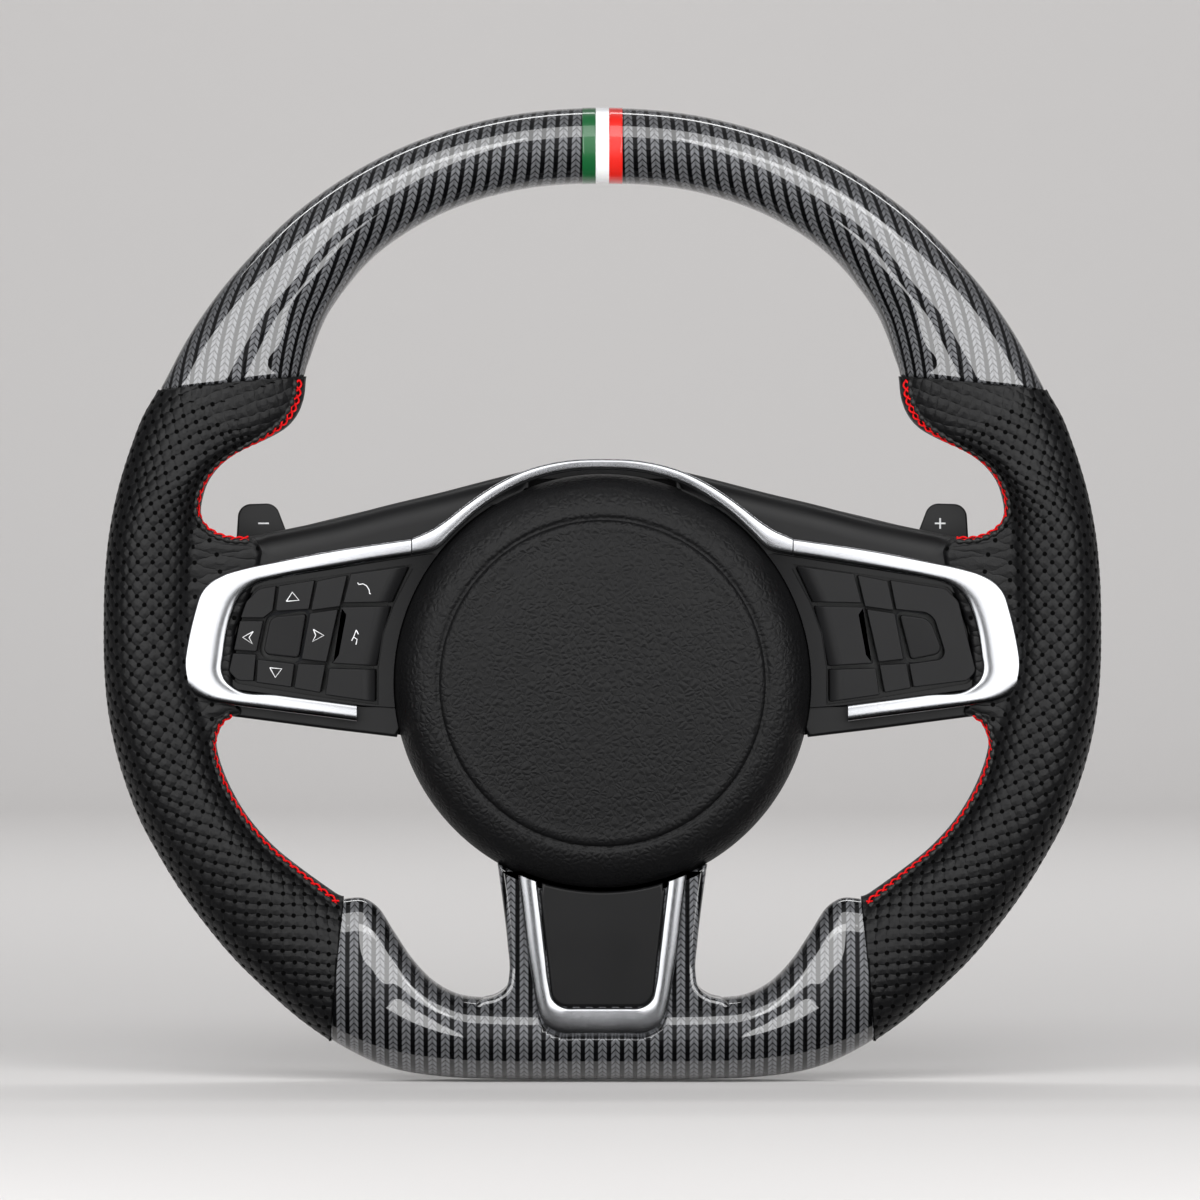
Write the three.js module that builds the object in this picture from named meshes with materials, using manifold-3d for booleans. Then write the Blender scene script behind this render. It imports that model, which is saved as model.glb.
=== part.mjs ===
// A D-shaped steering wheel with a quick release coupling, in millimetres.
// +Z is up, +X is the driver's right, and the driver sits on the -Y side.
// The origin is where the steering axis (Y) meets the rear face of the coupling's sleeve.
import * as THREE from "three";
import { mergeVertices } from "three/addons/utils/BufferGeometryUtils.js";
import Module from "manifold-3d";

const wasm = await Module();
wasm.setup();

// ---------------------------------------------------------------- driving dimensions
const RIM_R = 185; // outer radius of the rim's circle
const RIM_Y = -60; // mid plane of the rim
const RIM_DEPTH = 31; // rim section, front to back, at the top
const GRIP_DEPTH = 34; // the same at the leather grips
const SKIN = 2; // carbon or leather skin over the foam
const ARMATURE_R = 5; // cast ring inside the foam
const ARMATURE_INSET = 14.5; // from the rim's outer edge to the ring's centre line
const STRIPE_W = 5; // each of the three bands at the top
const STRIPE_T = 0.6; // depth of their inlay
const GAP = 0.4; // clearance between pieces that touch
const MOVE_GAP = 0.7; // clearance round pieces that move

const PAD_R = 77.5; // centre pad
const PAD_Z = -29; // its centre, below the steering axis
const PAD_FRONT = -82;
const PAD_WALL = 3;
const PAD_TRAVEL = 2.5;
const PAD_MARGIN = 1.5; // gap between the pad and the trim round it
const PLATE_FRONT = -56.5; // armature hub plate and spokes
const PLATE_T = 6.5;
const COVER_FRONT = -65.6; // spoke covers
const TRIM_T = 5.5; // bright trim
const REAR_WALL = 2.5; // rear cover
const REAR_Y = -44; // its flat back

const SPOKE_END = RIM_R - 34.5; // outer end of the spoke covers
const HOUSING_FRONT = -66.5;
const HOUSING_FLOOR = 2;
const KEY_FRONT = -69.5;
const KEY_TRAVEL = 1;
const BOARD_T = 1.5;
const KEY_GAP = 0.9;

const SLEEVE_R = 19; // coupling sleeve
const BORE_R = 12.5; // socket for the column stub
const SOCKET_DEPTH = 34;
const SPLINE_R = 10.5; // tips of the spline teeth
const SPLINE_TEETH = 10;
const FLANGE_R = 42;
const FLANGE_T = 6;
const BOLT_PCD = 70;
const BOLTS = 6;
const BOLT_R = 2.5;
const BALL_R = 4;
const BALLS = 4;
const BALL_RELEASE = 1.6; // how far a ball moves out
const COLLAR_TRAVEL = 7;
const COLLAR_LENGTH = 23;
const COLLAR_R = 30;
const SNAP_RING_T = 1.2;

const PADDLE_T = 3;
const PADDLE_PIN_R = 1.5;

// ---------------------------------------------------------------- materials
const finish = (color, roughness, metalness = 0) =>
  new THREE.MeshStandardMaterial({ color, roughness, metalness });
const carbon = finish(0x1b1c1d, 0.18);
const leather = finish(0x1a1a1b, 0.6);
const foam = finish(0x5b5a55, 0.9);
const castMetal = finish(0x8d8f92, 0.5, 0.9);
const brightTrim = finish(0xd9dadd, 0.22, 1);
const softPlastic = finish(0x262627, 0.55);
const glossPlastic = finish(0x0d0d0e, 0.2);
const keyPlastic = finish(0x303031, 0.5);
const padSkin = finish(0x242425, 0.6);
const boardGreen = finish(0x1d4a33, 0.5);
const springSteel = finish(0xb5b7ba, 0.3, 1);
const anodised = finish(0x17181a, 0.35, 0.8);
const stripeGreen = finish(0x0a5a2a, 0.2);
const stripeWhite = finish(0xf2f3f4, 0.2);
const stripeRed = finish(0xd8180c, 0.2);

// ---------------------------------------------------------------- solids
// A closed geometry as a manifold-3d solid, turned to face outwards.
function solid(geometry) {
  const bare = geometry.index ? geometry.toNonIndexed() : geometry.clone();
  const only = new THREE.BufferGeometry().setAttribute("position", bare.getAttribute("position"));
  const merged = mergeVertices(only, 1e-4);
  const p = merged.attributes.position.array;
  const t = new Uint32Array(merged.index.array);
  const corner = (i) => new THREE.Vector3(p[3 * i], p[3 * i + 1], p[3 * i + 2]);
  let volume = 0;
  for (let i = 0; i < t.length; i += 3) {
    volume += corner(t[i]).dot(corner(t[i + 1]).cross(corner(t[i + 2])));
  }
  if (volume < 0) {
    for (let i = 0; i < t.length; i += 3) [t[i + 1], t[i + 2]] = [t[i + 2], t[i + 1]];
  }
  return new wasm.Manifold(new wasm.Mesh({ numProp: 3, vertProperties: p, triVerts: t }));
}

function geometryOf(body) {
  const m = body.getMesh();
  const v = new Float32Array(m.numVert * 3);
  for (let i = 0; i < m.numVert; i++) {
    v.set(m.vertProperties.subarray(i * m.numProp, i * m.numProp + 3), i * 3);
  }
  const g = new THREE.BufferGeometry();
  g.setAttribute("position", new THREE.BufferAttribute(v, 3));
  g.setIndex(new THREE.BufferAttribute(m.triVerts, 1));
  g.computeVertexNormals();
  return g;
}

const union = (...bodies) => bodies.reduce((a, b) => a.add(b));
const cut = (body, ...tools) => tools.reduce((a, b) => a.subtract(b), body);

const wheel = new THREE.Group();
function piece(name, body, material) {
  const mesh = new THREE.Mesh(geometryOf(body), material);
  mesh.name = name;
  wheel.add(mesh);
  return body;
}

// An outline in the X-Z plane, given by its corners [x, z, radius], with the corners rounded.
function rounded(corners, steps = 4) {
  const out = [];
  corners.forEach(([x, z, r = 0], i) => {
    const here = new THREE.Vector2(x, z);
    const before = new THREE.Vector2(...corners.at(i - 1).slice(0, 2)).sub(here);
    const after = new THREE.Vector2(...corners[(i + 1) % corners.length].slice(0, 2)).sub(here);
    const half = Math.acos(before.dot(after) / before.length() / after.length()) / 2;
    const reach = Math.min(r / Math.tan(half), before.length() * 0.49, after.length() * 0.49);
    if (reach < 0.05) {
      out.push(here);
      return;
    }
    const start = here.clone().addScaledVector(before.normalize(), reach);
    const end = here.clone().addScaledVector(after.normalize(), reach);
    const bend = new THREE.QuadraticBezierCurve(start, here, end);
    // pulled towards the corner's arc: a conic of the same tangents
    bend.getPoints(steps).forEach((p) => out.push(p));
  });
  return out;
}

// The outline moved outwards by d, with the edges that turn over dropped.
function grown(points, d) {
  const sign = Math.sign(THREE.ShapeUtils.area(points));
  const next = (list, i) => list[(i + 1) % list.length];
  let pairs = points.map((p, i) => {
    const a = p.clone().sub(points.at(i - 1)).normalize();
    const b = next(points, i).clone().sub(p).normalize();
    const mid = a.clone().add(b).normalize();
    const scale = (d / Math.max(0.5, mid.dot(a))) * sign;
    return [p, new THREE.Vector2(p.x + mid.y * scale, p.y - mid.x * scale)];
  });
  const turnedOver = ([p, q], i) => {
    const [p2, q2] = next(pairs, i);
    return p2.clone().sub(p).dot(q2.clone().sub(q)) <= 0;
  };
  for (let i = pairs.findIndex(turnedOver); i >= 0; i = pairs.findIndex(turnedOver)) {
    const after = (i + 1) % pairs.length;
    const merged = [0, 1].map((k) => pairs[i][k].clone().add(pairs[after][k]).multiplyScalar(0.5));
    pairs[i] = merged;
    pairs = pairs.filter((_, k) => k !== after);
  }
  return pairs.map(([, q]) => q);
}

const mirrored = (points, side) => points.map((p) => new THREE.Vector2(p.x * side, p.y));

// A flat piece: an outline in X-Z from y = front to y = back.
function plate(points, front, back) {
  const g = new THREE.ExtrudeGeometry(new THREE.Shape(points), {
    depth: back - front,
    bevelEnabled: false,
  });
  return solid(g.rotateX(Math.PI / 2).translate(0, back, 0));
}

// A turned piece about an axis parallel to Y, from a closed profile of [radius, y].
function turned(profile, segments, x = 0, z = 0) {
  const closed = [...profile, profile[0]].map(([r, y]) => new THREE.Vector2(r, y));
  const ends = profile[0][0] === 0 && profile.at(-1)[0] === 0;
  const g = new THREE.LatheGeometry(ends ? closed.slice(0, -1) : closed, segments);
  return solid(g.translate(x, 0, z));
}

const disc = (r, front, back, segments, x = 0, z = 0) =>
  turned([[0, front], [r, front], [r, back], [0, back]], segments, x, z);

function box(x0, x1, y0, y1, z0, z1) {
  const g = new THREE.BoxGeometry(x1 - x0, y1 - y0, z1 - z0);
  return solid(g.translate((x0 + x1) / 2, (y0 + y1) / 2, (z0 + z1) / 2));
}

// A skin through rings of points, closed by flat ends or, for a loop, on itself.
function loft(rings, loop = false) {
  const n = rings[0].length;
  const position = rings.flat().flatMap((p) => [p.x, p.y, p.z]);
  const index = [];
  const last = loop ? rings.length : rings.length - 1;
  for (let i = 0; i < last; i++) {
    const a = i * n;
    const b = ((i + 1) % rings.length) * n;
    for (let k = 0; k < n; k++) {
      const l = (k + 1) % n;
      index.push(a + k, b + k, b + l, a + k, b + l, a + l);
    }
  }
  if (!loop) {
    for (let k = 1; k < n - 1; k++) {
      const e = (rings.length - 1) * n;
      index.push(0, k, k + 1);
      index.push(e, e + k + 1, e + k);
    }
  }
  const g = new THREE.BufferGeometry();
  g.setAttribute("position", new THREE.Float32BufferAttribute(position, 3));
  g.setIndex(index);
  return solid(g);
}

// A coil spring along Y.
function coil(radius, wire, front, back, turns, x, z, perTurn = 12) {
  const steps = Math.round(turns * perTurn);
  const rise = back - front - 2 * wire;
  const points = [];
  for (let i = 0; i <= steps; i++) {
    const a = (i / perTurn) * 2 * Math.PI;
    const y = front + wire + (rise * i) / steps;
    points.push(new THREE.Vector3(x + radius * Math.cos(a), y, z + radius * Math.sin(a)));
  }
  const rings = points.map((p, i) => {
    const t = points[Math.min(i + 1, steps)].clone().sub(points[Math.max(i - 1, 0)]).normalize();
    const out = new THREE.Vector3(p.x - x, 0, p.z - z).normalize();
    const up = t.clone().cross(out).normalize();
    return [0, 1, 2, 3, 4].map((k) => {
      const a = (k * 2 * Math.PI) / 5;
      return p.clone().addScaledVector(out, wire * Math.cos(a)).addScaledVector(up, wire * Math.sin(a));
    });
  });
  return loft(rings);
}

// ---------------------------------------------------------------- the rim
// Stations round the left half of the rim, from the top. Each joins a point of the outer edge,
// [degrees from the top, mm outside RIM_R], to a point of the inner edge, [degrees, mm inside RIM_R],
// and ends with the section's depth and how much thinner its inner side is.
const SIDES = 10;
const TOP_JOINT = [64.3, -1.9, 52.4, 45.6, RIM_DEPTH + 2, 0.3];
const LOW_JOINT = [147.9, 5.6, 138.55, 39.4, GRIP_DEPTH, 0.3];
const JOINT_HALF_GAP = 0.12; // degrees
const TOP = [
  [0, 0, 0, 28.8, RIM_DEPTH, 0],
  [12, 0.6, 12, 28.1, RIM_DEPTH, 0],
  [24, 1, 24, 28.5, RIM_DEPTH, 0],
  [34, 0.6, 34, 31, RIM_DEPTH, 0.05],
  [42, -0.2, 42, 35.8, RIM_DEPTH, 0.1],
  [50, -0.8, 46.2, 39, RIM_DEPTH, 0.2],
  [57, -1.4, 49.4, 42.8, RIM_DEPTH + 1, 0.3],
  TOP_JOINT,
];
const GRIP = [
  TOP_JOINT,
  [67.7, -0.7, 55.6, 50.5, GRIP_DEPTH, 0.3],
  [71.5, -0.5, 60, 51, GRIP_DEPTH, 0.3],
  [75.2, -0.4, 64.3, 44.1, GRIP_DEPTH, 0.25],
  [79.1, -0.2, 68.6, 35.7, GRIP_DEPTH, 0.1],
  [82.5, -0.1, 73, 31.2, GRIP_DEPTH, 0],
  [86.5, 0, 77.5, 31.6, GRIP_DEPTH, 0],
  [93, -0.2, 87, 33.3, GRIP_DEPTH, 0],
  [99, -0.4, 96, 32.6, GRIP_DEPTH, 0],
  [105, -0.6, 103.5, 32.4, GRIP_DEPTH, 0],
  [112, 0, 111.3, 31.1, GRIP_DEPTH, 0],
  [119, 0.3, 119, 30.6, GRIP_DEPTH, 0],
  [126, 2.2, 126.6, 33.1, GRIP_DEPTH, 0.05],
  [134, 3.7, 132.5, 36.5, GRIP_DEPTH, 0.15],
  [141, 3.8, 136.3, 38.4, GRIP_DEPTH, 0.25],
  LOW_JOINT,
];
const LOWER = [
  LOW_JOINT,
  [150.5, 5.8, 140.6, 44.3, RIM_DEPTH + 1, 0.3],
  [152.8, 5.5, 143.3, 45.3, RIM_DEPTH, 0.3],
  [155.4, 4.9, 147.4, 41.3, RIM_DEPTH, 0.25],
  [158.2, 3.3, 152.1, 35.6, RIM_DEPTH, 0.1],
  [161.2, 0.9, 156.3, 31.8, RIM_DEPTH, 0.05],
  [167.3, -3.7, 163.9, 33.5, RIM_DEPTH, 0],
  [173, -6.9, 171, 37.5, RIM_DEPTH, 0],
  [180, -8.2, 180, 39, RIM_DEPTH, 0],
];

function edgePoint(degrees, radius) {
  const a = THREE.MathUtils.degToRad(degrees);
  return new THREE.Vector3(-radius * Math.sin(a), RIM_Y, radius * Math.cos(a));
}

// Stations along one stretch, turned from degrees to points. shift moves both ends along the rim.
function stations(stretch, startShift = 0, endShift = 0) {
  return stretch.map(([ao, out, ai, inside, depth, taper], i) => {
    const shift = i === 0 ? startShift : i === stretch.length - 1 ? endShift : 0;
    return {
      outer: edgePoint(ao + shift, RIM_R + out),
      inner: edgePoint(ai + shift, RIM_R - inside),
      depth,
      taper,
    };
  });
}

const mirrorStation = (s) => ({
  ...s,
  outer: s.outer.clone().multiply(new THREE.Vector3(-1, 1, 1)),
  inner: s.inner.clone().multiply(new THREE.Vector3(-1, 1, 1)),
});

// The section at a station, inset from the surface.
function section({ outer, inner, depth, taper }, inset) {
  const across = outer.clone().sub(inner);
  const half = across.length() / 2 - inset;
  across.normalize();
  const centre = outer.clone().add(inner).multiplyScalar(0.5);
  return Array.from({ length: SIDES }, (_, k) => {
    const a = (k * 2 * Math.PI) / SIDES;
    const thin = 1 - (taper * (1 - Math.cos(a))) / 2;
    const p = centre.clone().addScaledVector(across, half * Math.cos(a));
    p.y += (depth / 2 - inset) * thin * Math.sin(a);
    return p;
  });
}

function ringSection({ outer, inner }, radius) {
  const across = outer.clone().sub(inner).normalize();
  const centre = outer.clone().addScaledVector(across, -ARMATURE_INSET);
  return [0, 1, 2, 3, 4, 5].map((k) => {
    const a = (k * Math.PI) / 3;
    const p = centre.clone().addScaledVector(across, radius * Math.cos(a));
    p.y += radius * Math.sin(a);
    return p;
  });
}

const half = [...stations(TOP), ...stations(GRIP).slice(1), ...stations(LOWER).slice(1)];
const wholeRing = [...half, ...half.slice(1, -1).reverse().map(mirrorStation)];
const everyOther = wholeRing.filter((_, i) => i % 2 === 0);

// ---------------------------------------------------------------- the armature
const PLATE_BACK = PLATE_FRONT + PLATE_T;
const BAR_HALF = 11; // spoke bars, half their height
const BAR_Z = -8;
const HUB_PLATE_R = 64;
const LEG_X = 27;
const LEG_HALF = 4;

function armatureBody(g) {
  const ring = loft(everyOther.map((s) => ringSection(s, ARMATURE_R + g)), true);
  const y0 = PLATE_FRONT - g;
  const y1 = PLATE_BACK + g;
  const barEnd = RIM_R - ARMATURE_INSET;
  const low = -(RIM_R - ARMATURE_INSET - 8);
  return union(
    ring,
    disc(HUB_PLATE_R + g, y0, y1, 32, 0, PAD_Z),
    disc(FLANGE_R + 3 + g, y0, y1, 32),
    box(-barEnd, barEnd, y0, y1, BAR_Z - BAR_HALF - g, BAR_Z + BAR_HALF + g),
    ...[-1, 1].map((s) =>
      box(s * LEG_X - LEG_HALF - g, s * LEG_X + LEG_HALF + g, y0, y1, low, PAD_Z)),
  );
}
const boltAngle = (i) => ((i + 0.5) * 2 * Math.PI) / BOLTS;
const boltAt = (i) => [(BOLT_PCD / 2) * Math.cos(boltAngle(i)), (BOLT_PCD / 2) * Math.sin(boltAngle(i))];
const boltHoles = (r, y0, y1) =>
  Array.from({ length: BOLTS }, (_, i) => disc(r, y0, y1, 8, ...boltAt(i)));
const armature = armatureBody(0);
const armatureRoom = armatureBody(GAP);
piece("rim_armature", cut(armature, ...boltHoles(BOLT_R + GAP, PLATE_FRONT - 1, PLATE_BACK + 1)), castMetal);

// ---------------------------------------------------------------- outlines of the spokes
// Corners for the right-hand side: [x, z, radius].
const ARCH_R = PAD_R + 11.1;
const ARCH_TOP = PAD_Z + PAD_R + 5.5;
const TRIM_END_X = PAD_R - 30.5; // where the side trim meets the arch
const coverOutline = rounded([
  [28, ARCH_TOP - 4, 0],
  [SPOKE_END - 18.5, 25, 2],
  [SPOKE_END - 11.8, 12, 6],
  [SPOKE_END - 3, 6, 8],
  [SPOKE_END, -32, 12],
  [SPOKE_END - 12.5, -41.3, 3],
  [PAD_R - 7.5, -49.8, 0],
  [20, -49.8, 0],
]);
const trimOuter = [
  [PAD_R - 7.5, 24.3, 5],
  [SPOKE_END - 2.3, 10.7, 19],
  [SPOKE_END + 7.5, -34.3, 15],
  [PAD_R + 11.5, -43.3, 0],
];
const trimInner = [
  [PAD_R + 11.5, -37.3, 0],
  [SPOKE_END - 7.8, -30.1, 8],
  [SPOKE_END - 15.3, 7.3, 12],
  [PAD_R - 11.5, 18.6, 0],
];
const archEdge = (x) => ARCH_TOP - ARCH_R + Math.sqrt(ARCH_R ** 2 - x ** 2);
const trimEnd = TRIM_END_X + 0.2;
const trimOutline = rounded([
  ...trimOuter, ...trimInner, [trimEnd, archEdge(trimEnd) - 10, 0], [trimEnd, archEdge(trimEnd), 0],
]);
const housingOutline = rounded([[PAD_R - 21.5, -36, 0], ...trimInner, [PAD_R - 21.5, 20, 0]]);

const padRoom = (front, back, margin = PAD_MARGIN) => disc(PAD_R + margin, front, back, 48, 0, PAD_Z);

// The flat lower spoke and the bright trim let into it.
const LOW_FRONT = -70;
const LOW_BACK = -47.5;
const LOW_TOP = PAD_Z - PAD_R + 16.5; // hidden behind the pad
const LOW_END = -(RIM_R - 25); // the trim's lower edge
const lowSpoke = rounded([
  [-39.5, LOW_TOP, 0], [-34.5, LOW_END + 17, 0], [-44, LOW_END + 8, 0],
  [44, LOW_END + 8, 0], [34.5, LOW_END + 17, 0], [39.5, LOW_TOP, 0],
]);
const lowTrimOuter = rounded([
  [-32.4, LOW_TOP, 0], [-22.6, LOW_END, 8], [22.6, LOW_END, 8], [32.4, LOW_TOP, 0],
]);
const lowTrimInner = rounded([
  [-28.5, LOW_TOP, 0], [-16.7, LOW_END + 11, 8], [16.7, LOW_END + 11, 8], [28.5, LOW_TOP, 0],
]);
const LOW_TRIM_FRONT = -72.5;
const LOW_TRIM_BACK = -67;

// ---------------------------------------------------------------- rim foam and skins
// The skins keep a floor behind the bright trim, so the foam steps back there.
const rimSolid = (list, inset) => loft(list.map((s) => section(s, inset)));
const foamBody = (inset) => cut(
  loft(wholeRing.map((s) => section(s, inset)), true),
  plate(grown(lowTrimOuter, GAP + inset), -90, LOW_TRIM_BACK + inset),
  ...[-1, 1].map((side) =>
    plate(mirrored(grown(trimOutline, GAP + inset), side), -90, COVER_FRONT + inset)),
);
piece("rim_foam", cut(foamBody(SKIN + GAP), armatureRoom), foam);
const foamRoom = foamBody(SKIN);

const topStations = stations(TOP, 0, -JOINT_HALF_GAP);
const upperStations = [...topStations, ...topStations.slice(1).reverse().map(mirrorStation)];
const upperRing = [...topStations.slice(1).reverse().map(mirrorStation), ...topStations];
const bandRoom = (x0, x1) => box(x0, x1, RIM_Y - RIM_DEPTH, RIM_Y + RIM_DEPTH, 0, RIM_R + 10);
const bandCore = rimSolid(upperRing, STRIPE_T);
const bandGroove = cut(bandRoom(-1.5 * STRIPE_W - 0.3, 1.5 * STRIPE_W + 0.3), rimSolid(upperRing, STRIPE_T + 0.3));
piece("upper_rim_shell", cut(rimSolid(upperRing, 0), foamRoom, bandGroove), carbon);
[["green", stripeGreen], ["white", stripeWhite], ["red", stripeRed]].forEach(([name, material], i) => {
  const x0 = (i - 1.5) * STRIPE_W + 0.15;
  const band = rimSolid(upperRing, 0.05).intersect(bandRoom(x0, x0 + STRIPE_W - 0.3));
  piece(`centre_stripe_${name}`, cut(band, bandCore), material);
});

// The leather grips reach inwards round the roots of the spokes.
const ROOT_FRONT = -70;
const ROOT_BACK = -47.5;
const rootOutline = rounded([
  [RIM_R - 25, 52, 0],
  [RIM_R - 35.5, 40, 5],
  [RIM_R - 36.5, 25.5, 8],
  [RIM_R - 53.8, 24.8, 0],
  [RIM_R - 62, -20, 0],
  [RIM_R - 47.5, -41, 2],
  [RIM_R - 41.5, -50, 4],
  [RIM_R - 40, -60, 0],
  [RIM_R - 25, -60, 0],
]);
for (const [name, side] of [["left", -1], ["right", 1]]) {
  const list = stations(GRIP, JOINT_HALF_GAP, -JOINT_HALF_GAP);
  const grip = rimSolid(side < 0 ? list : list.map(mirrorStation), 0);
  const root = plate(mirrored(rootOutline, side), ROOT_FRONT, ROOT_BACK);
  const coverRoom = plate(mirrored(grown(coverOutline, GAP), side), -75, -40);
  const trimRoom = plate(mirrored(grown(trimOutline, GAP), side), -90, COVER_FRONT);
  const body = cut(union(grip, root), coverRoom, foamRoom, armatureRoom, trimRoom);
  piece(`${name}_grip_leather`, body, leather);
}

// Lower carbon moulding: the flat bottom of the rim with the spoke that rises from it.
const lowStations = stations(LOWER, JOINT_HALF_GAP, 0);
const lowRing = [...lowStations, ...lowStations.slice(0, -1).reverse().map(mirrorStation)];
piece("lower_rim_shell", cut(
  union(rimSolid(lowRing, 0), plate(lowSpoke, LOW_FRONT, LOW_BACK)),
  foamRoom,
  armatureRoom,
  plate(grown(lowTrimOuter, GAP), -90, LOW_TRIM_BACK + GAP),
  padRoom(-90, PLATE_FRONT - GAP - 0.4),
), carbon);
const LOW_PANEL_GAP = 0.8;
piece("lower_spoke_bezel", cut(
  plate(lowTrimOuter, LOW_TRIM_FRONT, LOW_TRIM_BACK),
  plate(lowTrimInner, LOW_TRIM_FRONT - 1, LOW_TRIM_BACK + 1),
  padRoom(-90, -50),
), brightTrim);
piece("lower_spoke_panel", cut(
  plate(grown(lowTrimInner, -LOW_PANEL_GAP), LOW_TRIM_FRONT + 2, LOW_TRIM_BACK),
  padRoom(-90, -50),
), softPlastic);

// ---------------------------------------------------------------- spoke covers and bright trim
const ARCH_FRONT = COVER_FRONT - GAP - TRIM_T;
const archFull = disc(ARCH_R, ARCH_FRONT, COVER_FRONT - GAP, 64, 0, ARCH_TOP - ARCH_R);
piece("top_arch_trim", cut(
  archFull.intersect(box(-TRIM_END_X + 0.2, TRIM_END_X - 0.2, -80, -60, 0, ARCH_TOP + 5)),
  padRoom(-90, -50),
), brightTrim);
// The bar behind the arch that joins the two covers is part of the rear cover.
for (const [name, side] of [["left", -1], ["right", 1]]) {
  const housingRoom = plate(mirrored(grown(housingOutline, 0.2), side), -90, -50);
  const frame = plate(mirrored(coverOutline, side), COVER_FRONT, PLATE_FRONT - GAP);
  piece(`${name}_spoke_cover`, cut(frame, housingRoom, padRoom(-90, -50)), softPlastic);
  const trim = plate(mirrored(trimOutline, side), ARCH_FRONT, COVER_FRONT - GAP);
  piece(`${name}_switch_bezel`, cut(trim, padRoom(-90, -50)), brightTrim);
}

// ---------------------------------------------------------------- rear cover
const rearOutline = grown([
  ...mirrored(coverOutline, -1).reverse().slice(1),
  ...coverOutline.slice(0, -1),
], -0.6);
const SHROUD_R = 52; // the shroud's foot, on the cover's back
const SHROUD_TOP_R = 38;
const SHROUD_BACK = REAR_Y + 16;
const COVER_OPENING_R = SHROUD_R - 5.5;
const rearShell = union(
  plate(rearOutline, PLATE_FRONT + 0.2, REAR_Y),
  disc(PAD_R - 1, PLATE_FRONT + 0.2, REAR_Y, 36, 0, PAD_Z),
);
const rearHollow = union(
  plate(grown(rearOutline, -REAR_WALL), PLATE_FRONT - 1, REAR_Y - REAR_WALL),
  disc(PAD_R - 1 - REAR_WALL, PLATE_FRONT - 1, REAR_Y - REAR_WALL, 36, 0, PAD_Z),
);
const WIRE_SOCKET_R = 8;
const SOCKET_AT = [0, -(SHROUD_R + WIRE_SOCKET_R + 12)];
piece("rear_cover", cut(
  rearShell,
  rearHollow,
  armatureRoom,
  disc(COVER_OPENING_R, -60, -30, 28),
  plate(grown(lowSpoke, GAP), -60, LOW_BACK + GAP),
  disc(WIRE_SOCKET_R + GAP, -60, -30, 16, ...SOCKET_AT),
), softPlastic);
const SHROUD_MOUTH_R = COLLAR_R + 3;
piece("coupling_shroud", turned([
  [COVER_OPENING_R, REAR_Y + 0.3], [SHROUD_R, REAR_Y + 0.3], [SHROUD_R, REAR_Y + 1.5],
  [SHROUD_TOP_R, SHROUD_BACK], [SHROUD_MOUTH_R, SHROUD_BACK], [SHROUD_MOUTH_R, SHROUD_BACK - 2],
  [SHROUD_TOP_R - 3, SHROUD_BACK - 2],
], 28), softPlastic);
piece("wiring_socket", cut(
  union(
    disc(WIRE_SOCKET_R, REAR_Y - REAR_WALL - 0.5, REAR_Y + 9, 16, ...SOCKET_AT),
    disc(WIRE_SOCKET_R + 3, REAR_Y + GAP, REAR_Y + 2.4, 6, ...SOCKET_AT),
  ),
  disc(WIRE_SOCKET_R - 1.8, REAR_Y + 3, REAR_Y + 10, 16, ...SOCKET_AT),
), anodised);

// ---------------------------------------------------------------- centre pad
const PAD_SKIRT = PLATE_FRONT - PAD_TRAVEL - 1.4;
const GROOVE_R = 61;
const padProfile = [
  [0, PAD_FRONT], [GROOVE_R - 9, PAD_FRONT + 0.6], [GROOVE_R - 2, PAD_FRONT + 2.2],
  [GROOVE_R, PAD_FRONT + 3.6], [GROOVE_R + 2, PAD_FRONT + 2.6], [PAD_R - 8, PAD_FRONT + 4.2],
  [PAD_R - 2.5, PAD_FRONT + 8.5], [PAD_R, PAD_FRONT + 14], [PAD_R, PAD_SKIRT],
  [PAD_R - PAD_WALL, PAD_SKIRT], [PAD_R - PAD_WALL, PAD_FRONT + 14],
  [PAD_R - PAD_WALL - 5, PAD_FRONT + 8.5], [GROOVE_R, PAD_FRONT + 7], [0, PAD_FRONT + PAD_WALL + 1],
];
piece("centre_pad", turned(padProfile, 40, 0, PAD_Z), padSkin);
const CARRIER_FRONT = PAD_FRONT + 16;
const CARRIER_T = 2.5;
const CARRIER_BACK = CARRIER_FRONT + CARRIER_T;
piece("horn_carrier", disc(PAD_R - PAD_WALL - GAP, CARRIER_FRONT, CARRIER_BACK, 32, 0, PAD_Z), castMetal);
const HORN_SPRING_R = 5;
[90, 210, 330].forEach((degrees, i) => {
  const a = THREE.MathUtils.degToRad(degrees);
  const x = 50 * Math.cos(a);
  const z = PAD_Z + 50 * Math.sin(a);
  const spring = coil(HORN_SPRING_R, 0.6, CARRIER_BACK + GAP, PLATE_FRONT - GAP, 3, x, z, 10);
  piece(`horn_spring_${i + 1}`, spring, springSteel);
});

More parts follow.
